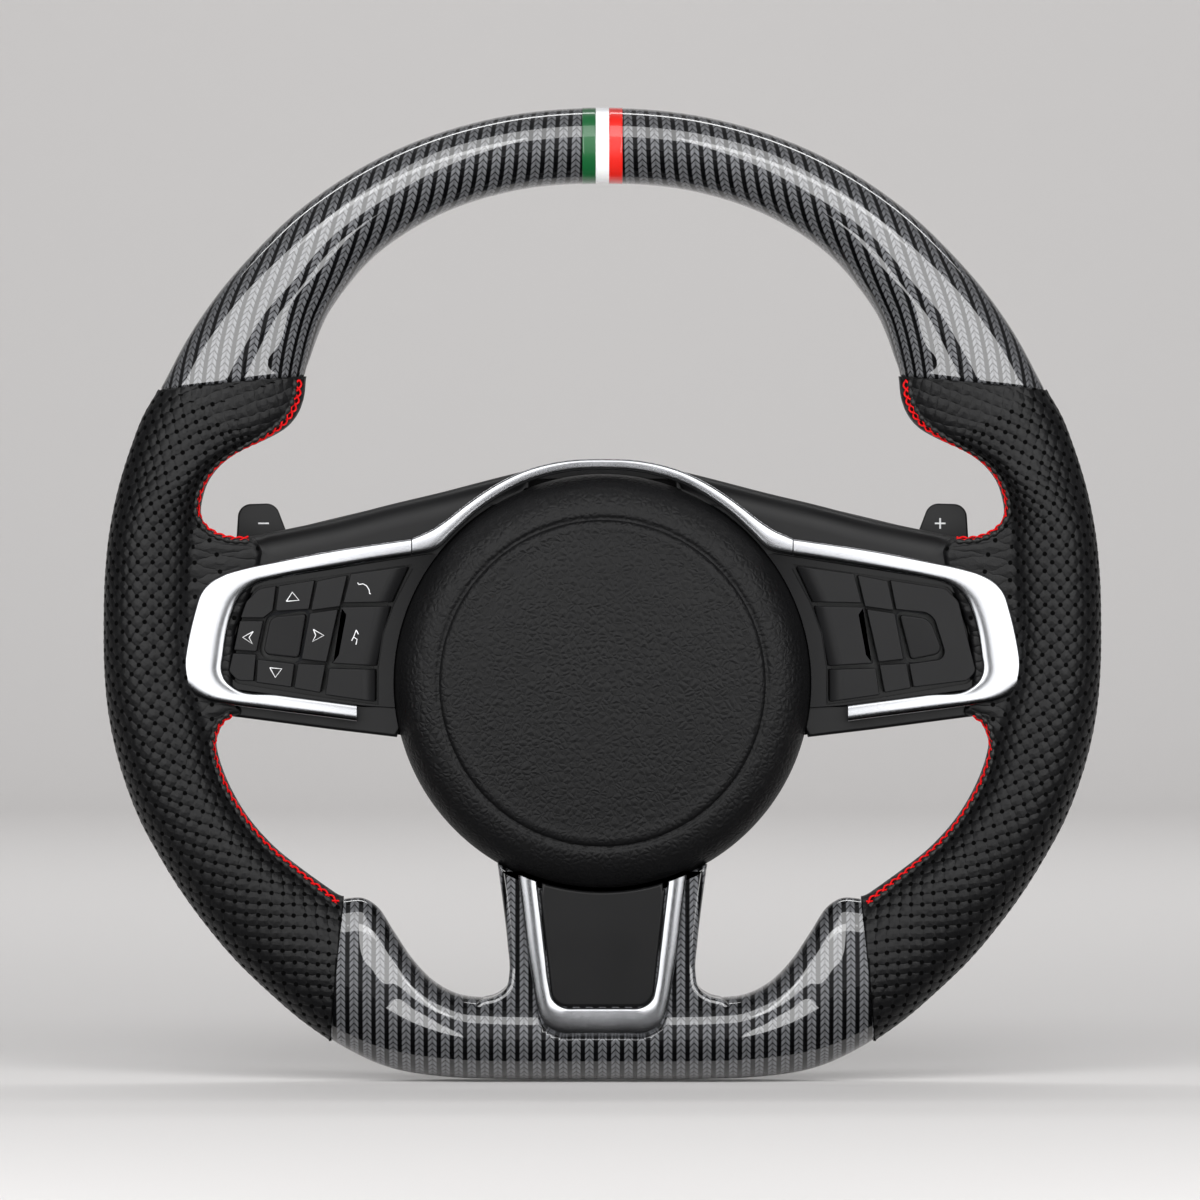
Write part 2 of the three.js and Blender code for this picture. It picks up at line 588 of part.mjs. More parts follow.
// ---------------------------------------------------------------- switch packs
// The keys fill the field between the pad and the trim. Rows run along the trim's two arms,
// and columns lean.
const COLUMN_LEAN = 0.225;
const KEY_ROW_TOP = 12.8;
const KEY_ROW_LOW = 11.5;
const KEY_MARGIN = 1.5; // from the trim to the outer keys
const along = ([x0, z0], [x1, z1], shift) => (x) => z0 + ((z1 - z0) * (x - x0)) / (x1 - x0) + shift;
const keyTop = along(trimInner[2], trimInner[3], -KEY_MARGIN);
const keyBottom = along(trimInner[0], trimInner[1], KEY_MARGIN);
const keyHigh = (x) => keyTop(x) - KEY_ROW_TOP;
const keyLow = (x) => keyBottom(x) + KEY_ROW_LOW;
const FIELD_IN = PAD_R + 0.5; // the field's ends where the columns cross z = 0
const FIELD_OUT = SPOKE_END - 17.5;
const columnX = (share) => (z) => FIELD_IN + share * (FIELD_OUT - FIELD_IN) - COLUMN_LEAN * z;
const columnA = columnX(0.338);
const columnB = columnX(0.562);
const columnC = columnX(0.83);
const keyInner = columnX(0);
const crossing = (row, column) => {
  let x = column(0);
  for (let i = 0; i < 12; i++) x = column(row(x));
  return [x, row(x)];
};
const block = (columnIn, columnOut, rowLower, rowUpper, r = 0.8) =>
  rounded([
    [...crossing(rowUpper, columnIn), r], [...crossing(rowUpper, columnOut), r],
    [...crossing(rowLower, columnOut), r], [...crossing(rowLower, columnIn), r],
  ], 2);
const padOuterCorners = [
  [...crossing(keyTop, columnA), 1],
  [SPOKE_END - 17.3, keyTop(SPOKE_END - 17.3), 10],
  [SPOKE_END - 10.3, keyBottom(SPOKE_END - 10.3), 7],
  [...crossing(keyBottom, columnA), 1],
];
const selectCorners = [
  [...crossing(keyHigh, columnB), 2],
  [...crossing(keyHigh, columnC), 5],
  [...crossing(keyLow, columnC), 3],
  [...crossing(keyLow, columnB), 2],
];
const POCKET_BACK = PLATE_FRONT - 0.8 - HOUSING_FLOOR;
const BOARD_BACK = POCKET_BACK - 0.3;
const BOARD_FRONT = BOARD_BACK - BOARD_T;
const GIMBAL_BACK = BOARD_FRONT - 0.8;
const GIMBAL_FRONT = GIMBAL_BACK - 1.7;
const PAD_PLATE_BACK = GIMBAL_FRONT - 0.9;
const KEY_BACK = BOARD_FRONT - KEY_TRAVEL - 0.4;

for (const [name, side] of [["left", -1], ["right", 1]]) {
  const on = (points) => mirrored(points, side);
  const keyArea = [
    [...crossing(keyTop, keyInner), 0], padOuterCorners[1], padOuterCorners[2],
    [...crossing(keyBottom, keyInner), 0],
  ];
  const pocket = grown(rounded(keyArea, 3), 0.2);
  const body = plate(on(grown(housingOutline, -0.2)), HOUSING_FRONT, PLATE_FRONT - 0.8);
  piece(`${name}_switch_housing`, cut(
    body,
    plate(on(pocket), HOUSING_FRONT - 5, POCKET_BACK),
    padRoom(-90, -50),
  ), glossPlastic);
  const board = rounded([
    [...crossing(keyTop, keyInner), 0], padOuterCorners[1], padOuterCorners[2],
    [...crossing(keyBottom, keyInner), 0],
  ], 2);
  piece(`${name}_switch_board`, plate(on(grown(board, -2)), BOARD_FRONT, BOARD_BACK), boardGreen);

  const ring = plate(on(grown(rounded(padOuterCorners, 3), -KEY_GAP)), KEY_FRONT, PAD_PLATE_BACK);
  const select = rounded(selectCorners, 3);
  const hole = plate(on(select), KEY_FRONT - 1, PAD_PLATE_BACK + 1);
  piece(`${name}_direction_pad`, cut(ring, hole), keyPlastic);
  const gimbal = plate(on(grown(select, 4)), GIMBAL_FRONT, GIMBAL_BACK);
  piece(`${name}_pad_gimbal`, cut(gimbal, plate(on(grown(select, 0.8)), -75, -55)), castMetal);
  piece(`${name}_select_button`, plate(on(grown(select, -KEY_GAP)), KEY_FRONT - 0.4, KEY_BACK), keyPlastic);

  const rows = [["upper", keyHigh, keyTop], ["middle", keyLow, keyHigh], ["lower", keyBottom, keyLow]];
  for (const [row, low, high] of rows) {
    const key = grown(block(keyInner, columnA, low, high), -KEY_GAP / 2);
    piece(`${name}_key_${row}`, plate(on(key), KEY_FRONT, KEY_BACK), keyPlastic);
  }
}

// ---------------------------------------------------------------- shift paddles
const PIN_X = SPOKE_END - 54.5;
const PIN_Y = REAR_Y + 7.5;
const EAR_IN = 12;
const EAR_T = 3;
const paddleOutline = rounded([
  [PIN_X, 10, 0], [PIN_X + 12, 12, 4], [SPOKE_END - 32.5, 26, 0], [SPOKE_END - 27.5, 38, 5],
  [SPOKE_END - 14.2, 37.6, 5], [SPOKE_END - 12.5, 12, 0], [SPOKE_END - 13, -28, 7],
  [PIN_X + 16, -28, 7], [PIN_X + 10, -11, 4], [PIN_X, -10, 0],
]);
const pinRod = (r, z0, z1, side, segments) =>
  solid(new THREE.CylinderGeometry(r, r, z1 - z0, segments)
    .rotateX(Math.PI / 2).translate(side * PIN_X, PIN_Y, (z0 + z1) / 2));
for (const [name, side] of [["left", -1], ["right", 1]]) {
  const knuckleR = PADDLE_PIN_R + 2.2;
  const paddleFront = PIN_Y - PADDLE_T / 2 - 1;
  const blade = cut(
    plate(mirrored(paddleOutline, side), paddleFront, paddleFront + PADDLE_T),
    pinRod(knuckleR + 0.3, 10.5, 60, side, 12),
  );
  const knuckle = pinRod(knuckleR, -EAR_IN + MOVE_GAP, EAR_IN - MOVE_GAP, side, 12);
  const bore = pinRod(PADDLE_PIN_R + GAP, -20, 20, side, 12);
  piece(`${name}_paddle`, cut(union(blade, knuckle), bore), softPlastic);
  const ear = (z0) => {
    const x0 = side * PIN_X - 4.5;
    return box(x0, x0 + 9, REAR_Y + GAP, PIN_Y + 3.5, z0, z0 + EAR_T);
  };
  const bracket = union(
    box(side * PIN_X - 4.5, side * PIN_X + 4.5, REAR_Y + GAP, REAR_Y + 1.8, -EAR_IN - EAR_T, EAR_IN + EAR_T),
    ear(EAR_IN),
    ear(-EAR_IN - EAR_T),
  );
  piece(`${name}_paddle_bracket`, cut(bracket, bore), castMetal);
  piece(`${name}_paddle_pin`, pinRod(PADDLE_PIN_R, -EAR_IN - EAR_T - 1, EAR_IN + EAR_T + 1, side, 10), springSteel);
}

// ---------------------------------------------------------------- quick release coupling
const SLEEVE_SEGMENTS = 20;
const SNAP_Y = -5;
const COLLAR_BACK = SNAP_Y - 0.4;
const COLLAR_FRONT = COLLAR_BACK - COLLAR_LENGTH;
const BALL_Y = COLLAR_BACK - 11;
const FLANGE_FRONT = PLATE_BACK + 0.3;
const FLANGE_BACK = FLANGE_FRONT + FLANGE_T;
const LAND_R = SLEEVE_R + GAP;
const ballRest = LAND_R - 0.35 - BALL_R; // the ball's centre, locked
const ballAngle = (i) => ((i + 0.5) * 2 * Math.PI) / BALLS;
// A rod that points outwards from the axis at a ball's place.
const radialRod = (r, from, to, i) =>
  solid(new THREE.CylinderGeometry(r, r, to - from, 12)
    .rotateZ(-Math.PI / 2).translate((from + to) / 2, 0, 0)
    .rotateY(-ballAngle(i)).translate(0, BALL_Y, 0));

const splineShape = [];
for (let i = 0; i < SPLINE_TEETH; i++) {
  [[-0.25, 12.3], [0.25, 12.3], [0.25, SPLINE_R], [0.75, SPLINE_R]].forEach(([share, r]) => {
    const a = ((i + share) * 2 * Math.PI) / SPLINE_TEETH;
    splineShape.push(new THREE.Vector2(r * Math.cos(a), r * Math.sin(a)));
  });
}
const SPLINE_BACK = -24;
const couplingHub = turned([
  [0, FLANGE_FRONT], [FLANGE_R, FLANGE_FRONT], [FLANGE_R, FLANGE_BACK], [SLEEVE_R, FLANGE_BACK],
  [SLEEVE_R, SNAP_Y - 0.2], [SLEEVE_R - 1.2, SNAP_Y - 0.2], [SLEEVE_R - 1.2, SNAP_Y + SNAP_RING_T + 0.2],
  [SLEEVE_R, SNAP_Y + SNAP_RING_T + 0.2], [SLEEVE_R, -1], [SLEEVE_R - 1, 0], [0, 0],
], SLEEVE_SEGMENTS);
piece("coupling_hub", cut(
  couplingHub,
  disc(BORE_R, SPLINE_BACK, 1, SLEEVE_SEGMENTS),
  plate(splineShape, -SOCKET_DEPTH, SPLINE_BACK + 0.5),
  ...Array.from({ length: BALLS }, (_, i) => union(
    radialRod(BALL_R * 0.875, BORE_R - 2, BORE_R + 1, i),
    radialRod(BALL_R + 0.3, BORE_R + 0.4, SLEEVE_R + 2, i),
  )),
  ...boltHoles(BOLT_R, FLANGE_FRONT - 1, FLANGE_BACK + 1),
), anodised);
piece("locking_collar", turned([
  [LAND_R, COLLAR_FRONT], [COLLAR_R - 4, COLLAR_FRONT], [COLLAR_R - 4, COLLAR_BACK - 9],
  [COLLAR_R, COLLAR_BACK - 7.5], [COLLAR_R, COLLAR_BACK - 1], [COLLAR_R - 1, COLLAR_BACK],
  [LAND_R + BALL_RELEASE, COLLAR_BACK], [LAND_R + BALL_RELEASE, BALL_Y + COLLAR_TRAVEL], [LAND_R, BALL_Y],
], SLEEVE_SEGMENTS), anodised);
piece("collar_spring", coil(SLEEVE_R + 3.5, 0.9, FLANGE_BACK + GAP, COLLAR_FRONT - GAP, 3, 0, 0, 14), springSteel);
const snapRing = turned([
  [SLEEVE_R - 0.8, SNAP_Y], [SLEEVE_R + 2.8, SNAP_Y],
  [SLEEVE_R + 2.8, SNAP_Y + SNAP_RING_T], [SLEEVE_R - 0.8, SNAP_Y + SNAP_RING_T],
], SLEEVE_SEGMENTS);
piece("snap_ring", cut(snapRing, box(-3, 3, -10, 0, -30, 0)), springSteel);
for (let i = 0; i < BALLS; i++) {
  const ball = new THREE.SphereGeometry(BALL_R, 10, 6);
  const a = ballAngle(i);
  ball.translate(ballRest * Math.cos(a), BALL_Y, ballRest * Math.sin(a));
  piece(`locking_ball_${i + 1}`, solid(ball), springSteel);
}
for (let i = 0; i < BOLTS; i++) {
  const headR = BOLT_R * 1.7;
  const head = PLATE_FRONT - GAP;
  const screw = turned([
    [0, head - 3], [headR, head - 3], [headR, head], [BOLT_R - 0.3, head],
    [BOLT_R - 0.3, FLANGE_BACK - 1], [0, FLANGE_BACK - 1],
  ], 8, ...boltAt(i));
  piece(`hub_screw_${i + 1}`, screw, springSteel);
}

export default wheel;
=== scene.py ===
"""A flat-bottomed steering wheel with a quick release coupling, dressed round its CAD frame.

Sizes are in millimetres until a mesh is made. +Z is up and the driver sits on the -Y side.
The sections follow the wheel as it is put together, from the rim inwards and then the back.
"""
import math
from functools import partial

import bmesh
import bpy
import numpy as np
from mathutils import Matrix, Vector


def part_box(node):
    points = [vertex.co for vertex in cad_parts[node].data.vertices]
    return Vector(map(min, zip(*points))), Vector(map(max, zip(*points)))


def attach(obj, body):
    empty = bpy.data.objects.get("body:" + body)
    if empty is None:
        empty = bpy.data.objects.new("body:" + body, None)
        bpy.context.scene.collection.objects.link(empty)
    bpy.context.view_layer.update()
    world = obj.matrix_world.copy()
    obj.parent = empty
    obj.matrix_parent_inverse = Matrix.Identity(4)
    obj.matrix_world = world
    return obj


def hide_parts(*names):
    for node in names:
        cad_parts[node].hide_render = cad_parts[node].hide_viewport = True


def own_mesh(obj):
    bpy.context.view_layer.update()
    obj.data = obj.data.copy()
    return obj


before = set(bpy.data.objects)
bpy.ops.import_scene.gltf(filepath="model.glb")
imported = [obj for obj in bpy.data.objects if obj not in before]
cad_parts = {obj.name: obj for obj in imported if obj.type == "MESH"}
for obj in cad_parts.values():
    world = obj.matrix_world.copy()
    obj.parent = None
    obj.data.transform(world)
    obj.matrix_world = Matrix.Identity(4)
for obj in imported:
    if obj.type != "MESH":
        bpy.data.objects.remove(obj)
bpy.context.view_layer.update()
scene = bpy.context.scene


# ------------------------------------------------------------------ the studio
# A pale sweep, with a soft box at each side and one overhead, which a lacquered rim shows as long
# bands, and a black flag on the floor in front. The camera looks straight along the axis.
def hex_colour(text):
    parts = [int(text[i:i + 2], 16) / 255 for i in (0, 2, 4)]
    linear = [p / 12.92 if p <= 0.04045 else ((p + 0.055) / 1.055) ** 2.4 for p in parts]
    return (*linear, 1.0)


def add(tree, kind, settings=None, **links):
    """Adds a node: settings are its own properties, links are its inputs by name or number."""
    node = tree.nodes.new(kind)
    for key, value in (settings or {}).items():
        setattr(node, key, value)
    for key, value in links.items():
        numbered = key[0] == "_" and key[1:].isdigit()
        slot = node.inputs[int(key[1:]) if numbered else key.replace("_", " ")]
        if isinstance(value, bpy.types.NodeSocket):
            tree.links.new(value, slot)
        else:
            slot.default_value = value
    return node


def new_material(name, **principled):
    material = bpy.data.materials.new(name)
    material.use_nodes = True
    shader = material.node_tree.nodes["Principled BSDF"]
    for key, value in principled.items():
        shader.inputs[key.replace("_", " ")].default_value = value
    return material, material.node_tree, shader


def placed(name, data):
    """A new object in the scene."""
    thing = bpy.data.objects.new(name, data)
    scene.collection.objects.link(thing)
    return thing

def mesh_object(name, vertices, faces, material):
    """A smooth-shaded object from points in millimetres."""
    mesh = bpy.data.meshes.new(name)
    mesh.from_pydata((np.asarray(vertices, float) * 0.001).tolist(), [], faces)
    mesh.polygons.foreach_set("use_smooth", [True] * len(mesh.polygons))
    mesh.materials.append(material)
    return placed(name, mesh)


FLOOR_Z = -177.2
SWEEP_FRONT, SWEEP_BACK, SWEEP_RISE, SWEEP_TOP, SWEEP_HALF = -4000, 3300, 700, 3500, 4000
sweep_line = [(SWEEP_FRONT, FLOOR_Z)]
for angle in np.radians(np.linspace(0, 90, 13)):
    sweep_line.append((SWEEP_BACK + SWEEP_RISE * math.sin(angle), FLOOR_Z + SWEEP_RISE * (1 - math.cos(angle))))
sweep_line.append((SWEEP_BACK + SWEEP_RISE, SWEEP_TOP))
sweep_mesh = [(x, y, z) for y, z in sweep_line for x in (-SWEEP_HALF, SWEEP_HALF)]
sweep_faces = [(2 * i, 2 * i + 1, 2 * i + 3, 2 * i + 2) for i in range(len(sweep_line) - 1)]
paper, _, _ = new_material("studio_paper", Base_Color=hex_colour("e3e1e0"), Roughness=0.9)
sweep = mesh_object("studio_sweep", sweep_mesh, sweep_faces, paper)
velvet, _, _ = new_material("black_flag_velvet", Base_Color=hex_colour("020202"), Roughness=1.0,
                            Specular_IOR_Level=0.0)
FLAG_NEAR, FLAG_FAR, FLAG_HALF, FLAG_LIFT = -78, -2500, 1500, 0.6
flag_corners = ((-FLAG_HALF, FLAG_NEAR), (-FLAG_HALF, FLAG_FAR), (FLAG_HALF, FLAG_FAR), (FLAG_HALF, FLAG_NEAR))
flag = mesh_object("flag", [(x, y, FLOOR_Z + FLAG_LIFT) for x, y in flag_corners], [(0, 1, 2, 3)], velvet)
flag.visible_camera = flag.visible_shadow = flag.visible_diffuse = False  # it only blackens reflections


def soft_box(name, place, aim, width, height, power):
    """An area lamp at a place, facing a point, both in metres."""
    lamp = bpy.data.lights.new(name, "AREA")
    lamp.shape = "RECTANGLE"
    lamp.size, lamp.size_y, lamp.energy = width, height, power
    holder = placed(name, lamp)
    holder.location = place
    holder.rotation_euler = (Vector(aim) - Vector(place)).to_track_quat("-Z", "Y").to_euler()
    holder.visible_camera = False

for side in (-1, 1):
    soft_box(f"side_box_{side}", (side * 0.62, -0.86, 0.16), (side * 0.62, 0, 0.16), 1.06, 0.95, 10)
soft_box("overhead_box", (0, -0.88, 0.95), (0, 0, 0.95), 1.0, 0.95, 7)
soft_box("backdrop_light", (0, 1.0, 2.4), (0, 3.3, 0.1), 5.0, 0.8, 75)
scene.world = bpy.data.worlds.new("studio_room")
scene.world.use_nodes = True
room = scene.world.node_tree.nodes["Background"]
room.inputs["Color"].default_value = hex_colour("b9b9bb")
room.inputs["Strength"].default_value = 0.22
scene.view_settings.view_transform = "Standard"

VIEW_WIDTH = 446.2  # what the frame shows across, at the rim
CAMERA_DISTANCE = 2600
camera_lens = bpy.data.cameras.new("camera")
SENSOR = 36
camera_lens.sensor_width = SENSOR
camera_lens.lens = SENSOR * CAMERA_DISTANCE / VIEW_WIDTH
camera = placed("camera", camera_lens)
camera.location = (-0.0009, (-60 - CAMERA_DISTANCE) * 0.001, 0.0017)
camera.rotation_euler = (math.pi / 2, 0, 0)
scene.camera = camera


# ------------------------------------------------------------------ the rim's line
# The rim is one closed ring. A carbon bow spans the top, two padded leather grips fill the sides
# and a carbon moulding closes the flat bottom. Rows run down the left half from the top:
# outer edge x, z, inner edge x, z, depth of the section, and how much thinner its inner side is.
RIM_Y = -60
RIM_ROWS = np.array([
    (0, 185, 0, 156.2, 31, 0), (-38.6, 181.5, -32.6, 153.5, 31, 0),
    (-75.7, 169.9, -63.7, 143, 31, 0), (-103.8, 153.9, -86.1, 127.7, 31, 0.05),
    (-123.7, 137.3, -99.8, 110.9, 31.5, 0.1), (-141.1, 118.4, -104.5, 102, 32, 0.2),
    (-154, 100, -108, 92.5, 32.5, 0.25), (-165, 79.5, -110.4, 84.8, 33, 0.3),
    (-170.5, 70, -111.2, 77, 33.5, 0.3), (-174.6, 59.5, -114, 70, 34, 0.3),
    (-177.3, 51.5, -118, 65.5, 34, 0.3), (-179.2, 45, -125, 61.5, 34, 0.25),
    (-180.8, 38.5, -135, 57, 34, 0.15), (-182, 32.5, -142, 52, 34, 0.05),
    (-183.1, 26, -147, 45.5, 34, 0), (-184, 18, -149.7, 36, 34, 0),
    (-184.8, 5, -150.5, 20, 34, 0), (-185, -10, -151.5, 4, 34, 0), (-184.8, -22, -152, -12, 34, 0),
    (-183.8, -36, -150.5, -28, 34, 0), (-181, -52, -145.5, -44, 34, 0),
    (-177, -66, -143, -57, 34, 0), (-171.5, -80, -138.5, -68.5, 34, 0),
    (-164.5, -93, -131.5, -80, 34, 0), (-156.5, -106, -122, -90.5, 34, 0.05),
    (-147, -119, -112, -98.5, 34, 0.12), (-136, -132, -104, -104.3, 34, 0.2),
    (-123, -144.5, -99, -107.8, 34, 0.25), (-112, -154, -97.3, -109, 34, 0.3),
    (-101.2, -161.7, -96.2, -109, 33.5, 0.32), (-94, -166, -89, -108.7, 33, 0.32),
    (-87, -169.5, -83.5, -112, 32, 0.3), (-79, -172.5, -77.5, -121, 31, 0.25),
    (-70, -174.5, -70, -132, 31, 0.15), (-60, -175.7, -61.5, -140.3, 31, 0.05),
    (-50, -176.4, -52, -144.7, 31, 0), (-42, -176.6, -43, -145.6, 31, 0),
    (-30, -176.8, -30, -146, 31, 0), (0, -176.8, 0, -146, 31, 0),
])
TOP_JOINT, LOW_JOINT = 7, 29  # the rows where leather meets carbon
FLIP = np.array([-1, 1, -1, 1, 1, 1])


def way_along(path):
    """How far each point of a path lies from its start."""
    return np.concatenate([[0], np.cumsum(np.linalg.norm(np.diff(path, axis=0), axis=1))])

def on_curve(knots, t, at):
    """The points at ways at on a smooth curve that passes the knots at ways t."""
    slope = np.gradient(knots, t, axis=0)
    k = np.clip(np.searchsorted(t, at, "right") - 1, 0, len(t) - 2)
    h, s = (t[k + 1] - t[k])[:, None], ((at - t[k]) / (t[k + 1] - t[k]))[:, None]
    return ((2 * s ** 3 - 3 * s ** 2 + 1) * knots[k] + (s ** 3 - 2 * s ** 2 + s) * h * slope[k]
            + (3 * s ** 2 - 2 * s ** 3) * knots[k + 1] + (s ** 3 - s ** 2) * h * slope[k + 1])

def smooth_rows(rows, step, first, last):
    """Rows every step mm along the rim, on a smooth curve through the given ones. first and last
    lie beyond the ends and set the direction there."""
    knots = np.vstack([first, rows, last])
    gap = np.linalg.norm(np.diff(knots[:, :2], axis=0), axis=1)
    inner = np.linalg.norm(np.diff(knots[:, 2:4], axis=0), axis=1)
    t = np.concatenate([[0], np.cumsum((gap + inner) / 2)])
    return on_curve(knots, t, np.linspace(t[1], t[-2], max(2, round((t[-2] - t[1]) / step)) + 1))

def rim_skin(rows, around, swell=0.0, power=2.15, end_round=0.0):
    """Rings of points on the rim's surface. swell moves the surface out, and end_round draws
    the last millimetres in at both ends."""
    turn = np.linspace(0, 2 * np.pi, around, endpoint=False)
    c = np.sign(np.cos(turn)) * np.abs(np.cos(turn)) ** (2 / power)
    n = np.sign(np.sin(turn)) * np.abs(np.sin(turn)) ** (2 / power)
    outer, inner = rows[:, 0:2], rows[:, 2:4]
    middle, across = (outer + inner) / 2, (outer - inner) / 2
    half = np.linalg.norm(across, axis=1, keepdims=True)
    way = way_along(middle)
    from_end = np.minimum(way, way[-1] - way)
    draw = np.zeros(len(rows))
    if end_round:
        inside = np.clip(1 - from_end / end_round, 0, 1)
        draw = end_round * (1 - np.sqrt(np.clip(1 - inside ** 2, 0, 1)))
    grow = (swell - draw)[:, None]
    wide = 1 + grow / half
    x = middle[:, 0:1] + across[:, 0:1] * wide * c
    z = middle[:, 1:2] + across[:, 1:2] * wide * c
    thin = 1 - rows[:, 5:6] * (1 - np.cos(turn)) / 2
    y = RIM_Y - (rows[:, 4:5] / 2 + grow) * n * thin
    return np.stack([x, y, z], axis=-1)


def skin_mesh(name, rings, material):
    """A tube through rings of points, with closed ends."""
    count, around = rings.shape[:2]
    faces = [(i * around + k, i * around + (k + 1) % around,
              (i + 1) * around + (k + 1) % around, (i + 1) * around + k)
             for i in range(count - 1) for k in range(around)]
    faces += [tuple(range(around))[::-1], tuple(range((count - 1) * around, count * around))]
    piece = mesh_object(name, rings.reshape(-1, 3), faces, material)
    outward(piece)
    return piece

def outward(piece):
    """Turns all faces outwards."""
    work = bmesh.new()
    work.from_mesh(piece.data)
    bmesh.ops.remove_doubles(work, verts=work.verts, dist=2e-6)
    bmesh.ops.recalc_face_normals(work, faces=work.faces)
    work.to_mesh(piece.data)
    work.free()


SHEET = 400  # millimetres of cloth to one unit of its map


def cloth_map(piece, lay):
    """A UV map from lay(points, centres), which gives millimetres on the cloth for each corner of a
    face, with the face's middle to say on which side of a seam it lies."""
    mesh = piece.data
    points, corners = np.empty(len(mesh.vertices) * 3), np.empty(len(mesh.loops), int)
    centres, total = np.empty(len(mesh.polygons) * 3), np.empty(len(mesh.polygons), int)
    mesh.vertices.foreach_get("co", points)
    mesh.loops.foreach_get("vertex_index", corners)
    mesh.polygons.foreach_get("center", centres)
    mesh.polygons.foreach_get("loop_total", total)
    points, centres = points.reshape(-1, 3)[corners] * 1000, np.repeat(centres.reshape(-1, 3), total, axis=0) * 1000
    mesh.uv_layers.new(name="cloth").data.foreach_set("uv", (lay(points, centres) / SHEET).ravel())


def show(piece, body, slot, *nodes):
    """The piece moves with a body and stands for CAD nodes. The slot it is given is not used."""
    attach(piece, body)
    if nodes:
        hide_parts(*nodes)
    return piece


# ------------------------------------------------------------------ the carbon bow
# Twill cloth laid over the foam at forty-five degrees and buried in clear lacquer, then polished.
# The tows show as columns of chevrons across the rim, their glint painted into the colour, and the lacquer carries
# hard reflections.
EAR = 4.84  # from one column of chevrons to the next
CHEVRON = 2.42  # from one chevron to the next


def number(tree, kind, a, b=0.5, c=0.5):
    """A number worked out from up to three others."""
    return add(tree, "ShaderNodeMath", {"operation": kind}, _0=a, _1=b, _2=c).outputs[0]

def carbon_weave(name):
    """Lacquered twill: dark fibre tows whose glint along their length is painted into the colour as lighter chevrons,
    under a glass-smooth coat.
    """
    material, tree, shader = new_material(
        name, Metallic=0.35, Roughness=0.38, Specular_IOR_Level=0.08,
        Coat_Weight=1.0, Coat_Roughness=0.015, Coat_IOR=1.9)
    place = add(tree, "ShaderNodeUVMap", {"uv_map": "cloth"})
    sheet = add(tree, "ShaderNodeVectorMath", {"operation": "SCALE"}, _0=place.outputs[0], Scale=SHEET)
    split = add(tree, "ShaderNodeSeparateXYZ", Vector=sheet.outputs[0])

    maths = partial(number, tree)
    column = maths("DIVIDE", split.outputs["X"], EAR)
    across = maths("MULTIPLY", maths("PINGPONG", column, 0.5), 2.0)  # 0 mid ear, 1 between
    zigzag = maths("MULTIPLY_ADD", across, 1.1, maths("DIVIDE", split.outputs["Y"], CHEVRON))
    phase = maths("FRACT", zigzag)
    ridge = maths("SINE", maths("MULTIPLY", phase, math.pi))
    leaf = maths("SINE", maths("MULTIPLY_ADD", across, math.pi * 0.9, 0.35))
    height = maths("MULTIPLY", maths("POWER", ridge, 0.6), maths("MAXIMUM", leaf, 0.05))
    ear = add(tree, "ShaderNodeMapRange", {"interpolation_type": "SMOOTHSTEP"},
              Value=across, From_Min=0.58, From_Max=0.72, To_Min=1.0, To_Max=0.03)
    tow = add(tree, "ShaderNodeMapRange", {"interpolation_type": "SMOOTHSTEP"},
              Value=ridge, From_Min=0.05, From_Max=0.6, To_Min=0.0, To_Max=1.0)
    # painted sheen: the tows' glint is painted as lighter colour in the ears, and the gaps between them are left
    # black
    painted_tow_glint = maths("MULTIPLY", maths("MULTIPLY", tow.outputs[0], maths("POWER", leaf, 0.6)), ear.outputs[0])
    tint = add(tree, "ShaderNodeMix", {"data_type": "RGBA"}, Factor=painted_tow_glint,
               A=hex_colour("040405"), B=hex_colour("6c6d70"))
    tree.links.new(tint.outputs["Result"], shader.inputs["Base Color"])
    bump = add(tree, "ShaderNodeBump", Strength=0.5, Distance=0.00025, Height=height)
    tree.links.new(bump.outputs[0], shader.inputs["Normal"])
    return material


lacquered_carbon = carbon_weave("lacquered_carbon_twill")
AROUND = 96
half_line = smooth_rows(RIM_ROWS, 1.5, RIM_ROWS[1] * FLIP, RIM_ROWS[-2] * FLIP)
BOW_DEPTH = 15.5  # half the depth that the cloth is laid round
CARBON_SINK = -0.35  # the carbon lies this far inside the rim's line
COLUMN_LEAN = [(0, 0), (15, 0.1), (30, 0.22), (45, 0.35), (52, 0.2), (60, 0.05), (70, 0)]  # degrees round, slope
bow_side = half_line[half_line[:, 1] > 40]
BOW_EDGES = [(np.arctan2(-bow_side[:, i], bow_side[:, i + 1]), np.hypot(bow_side[:, i], bow_side[:, i + 1]))
             for i in (0, 2)]


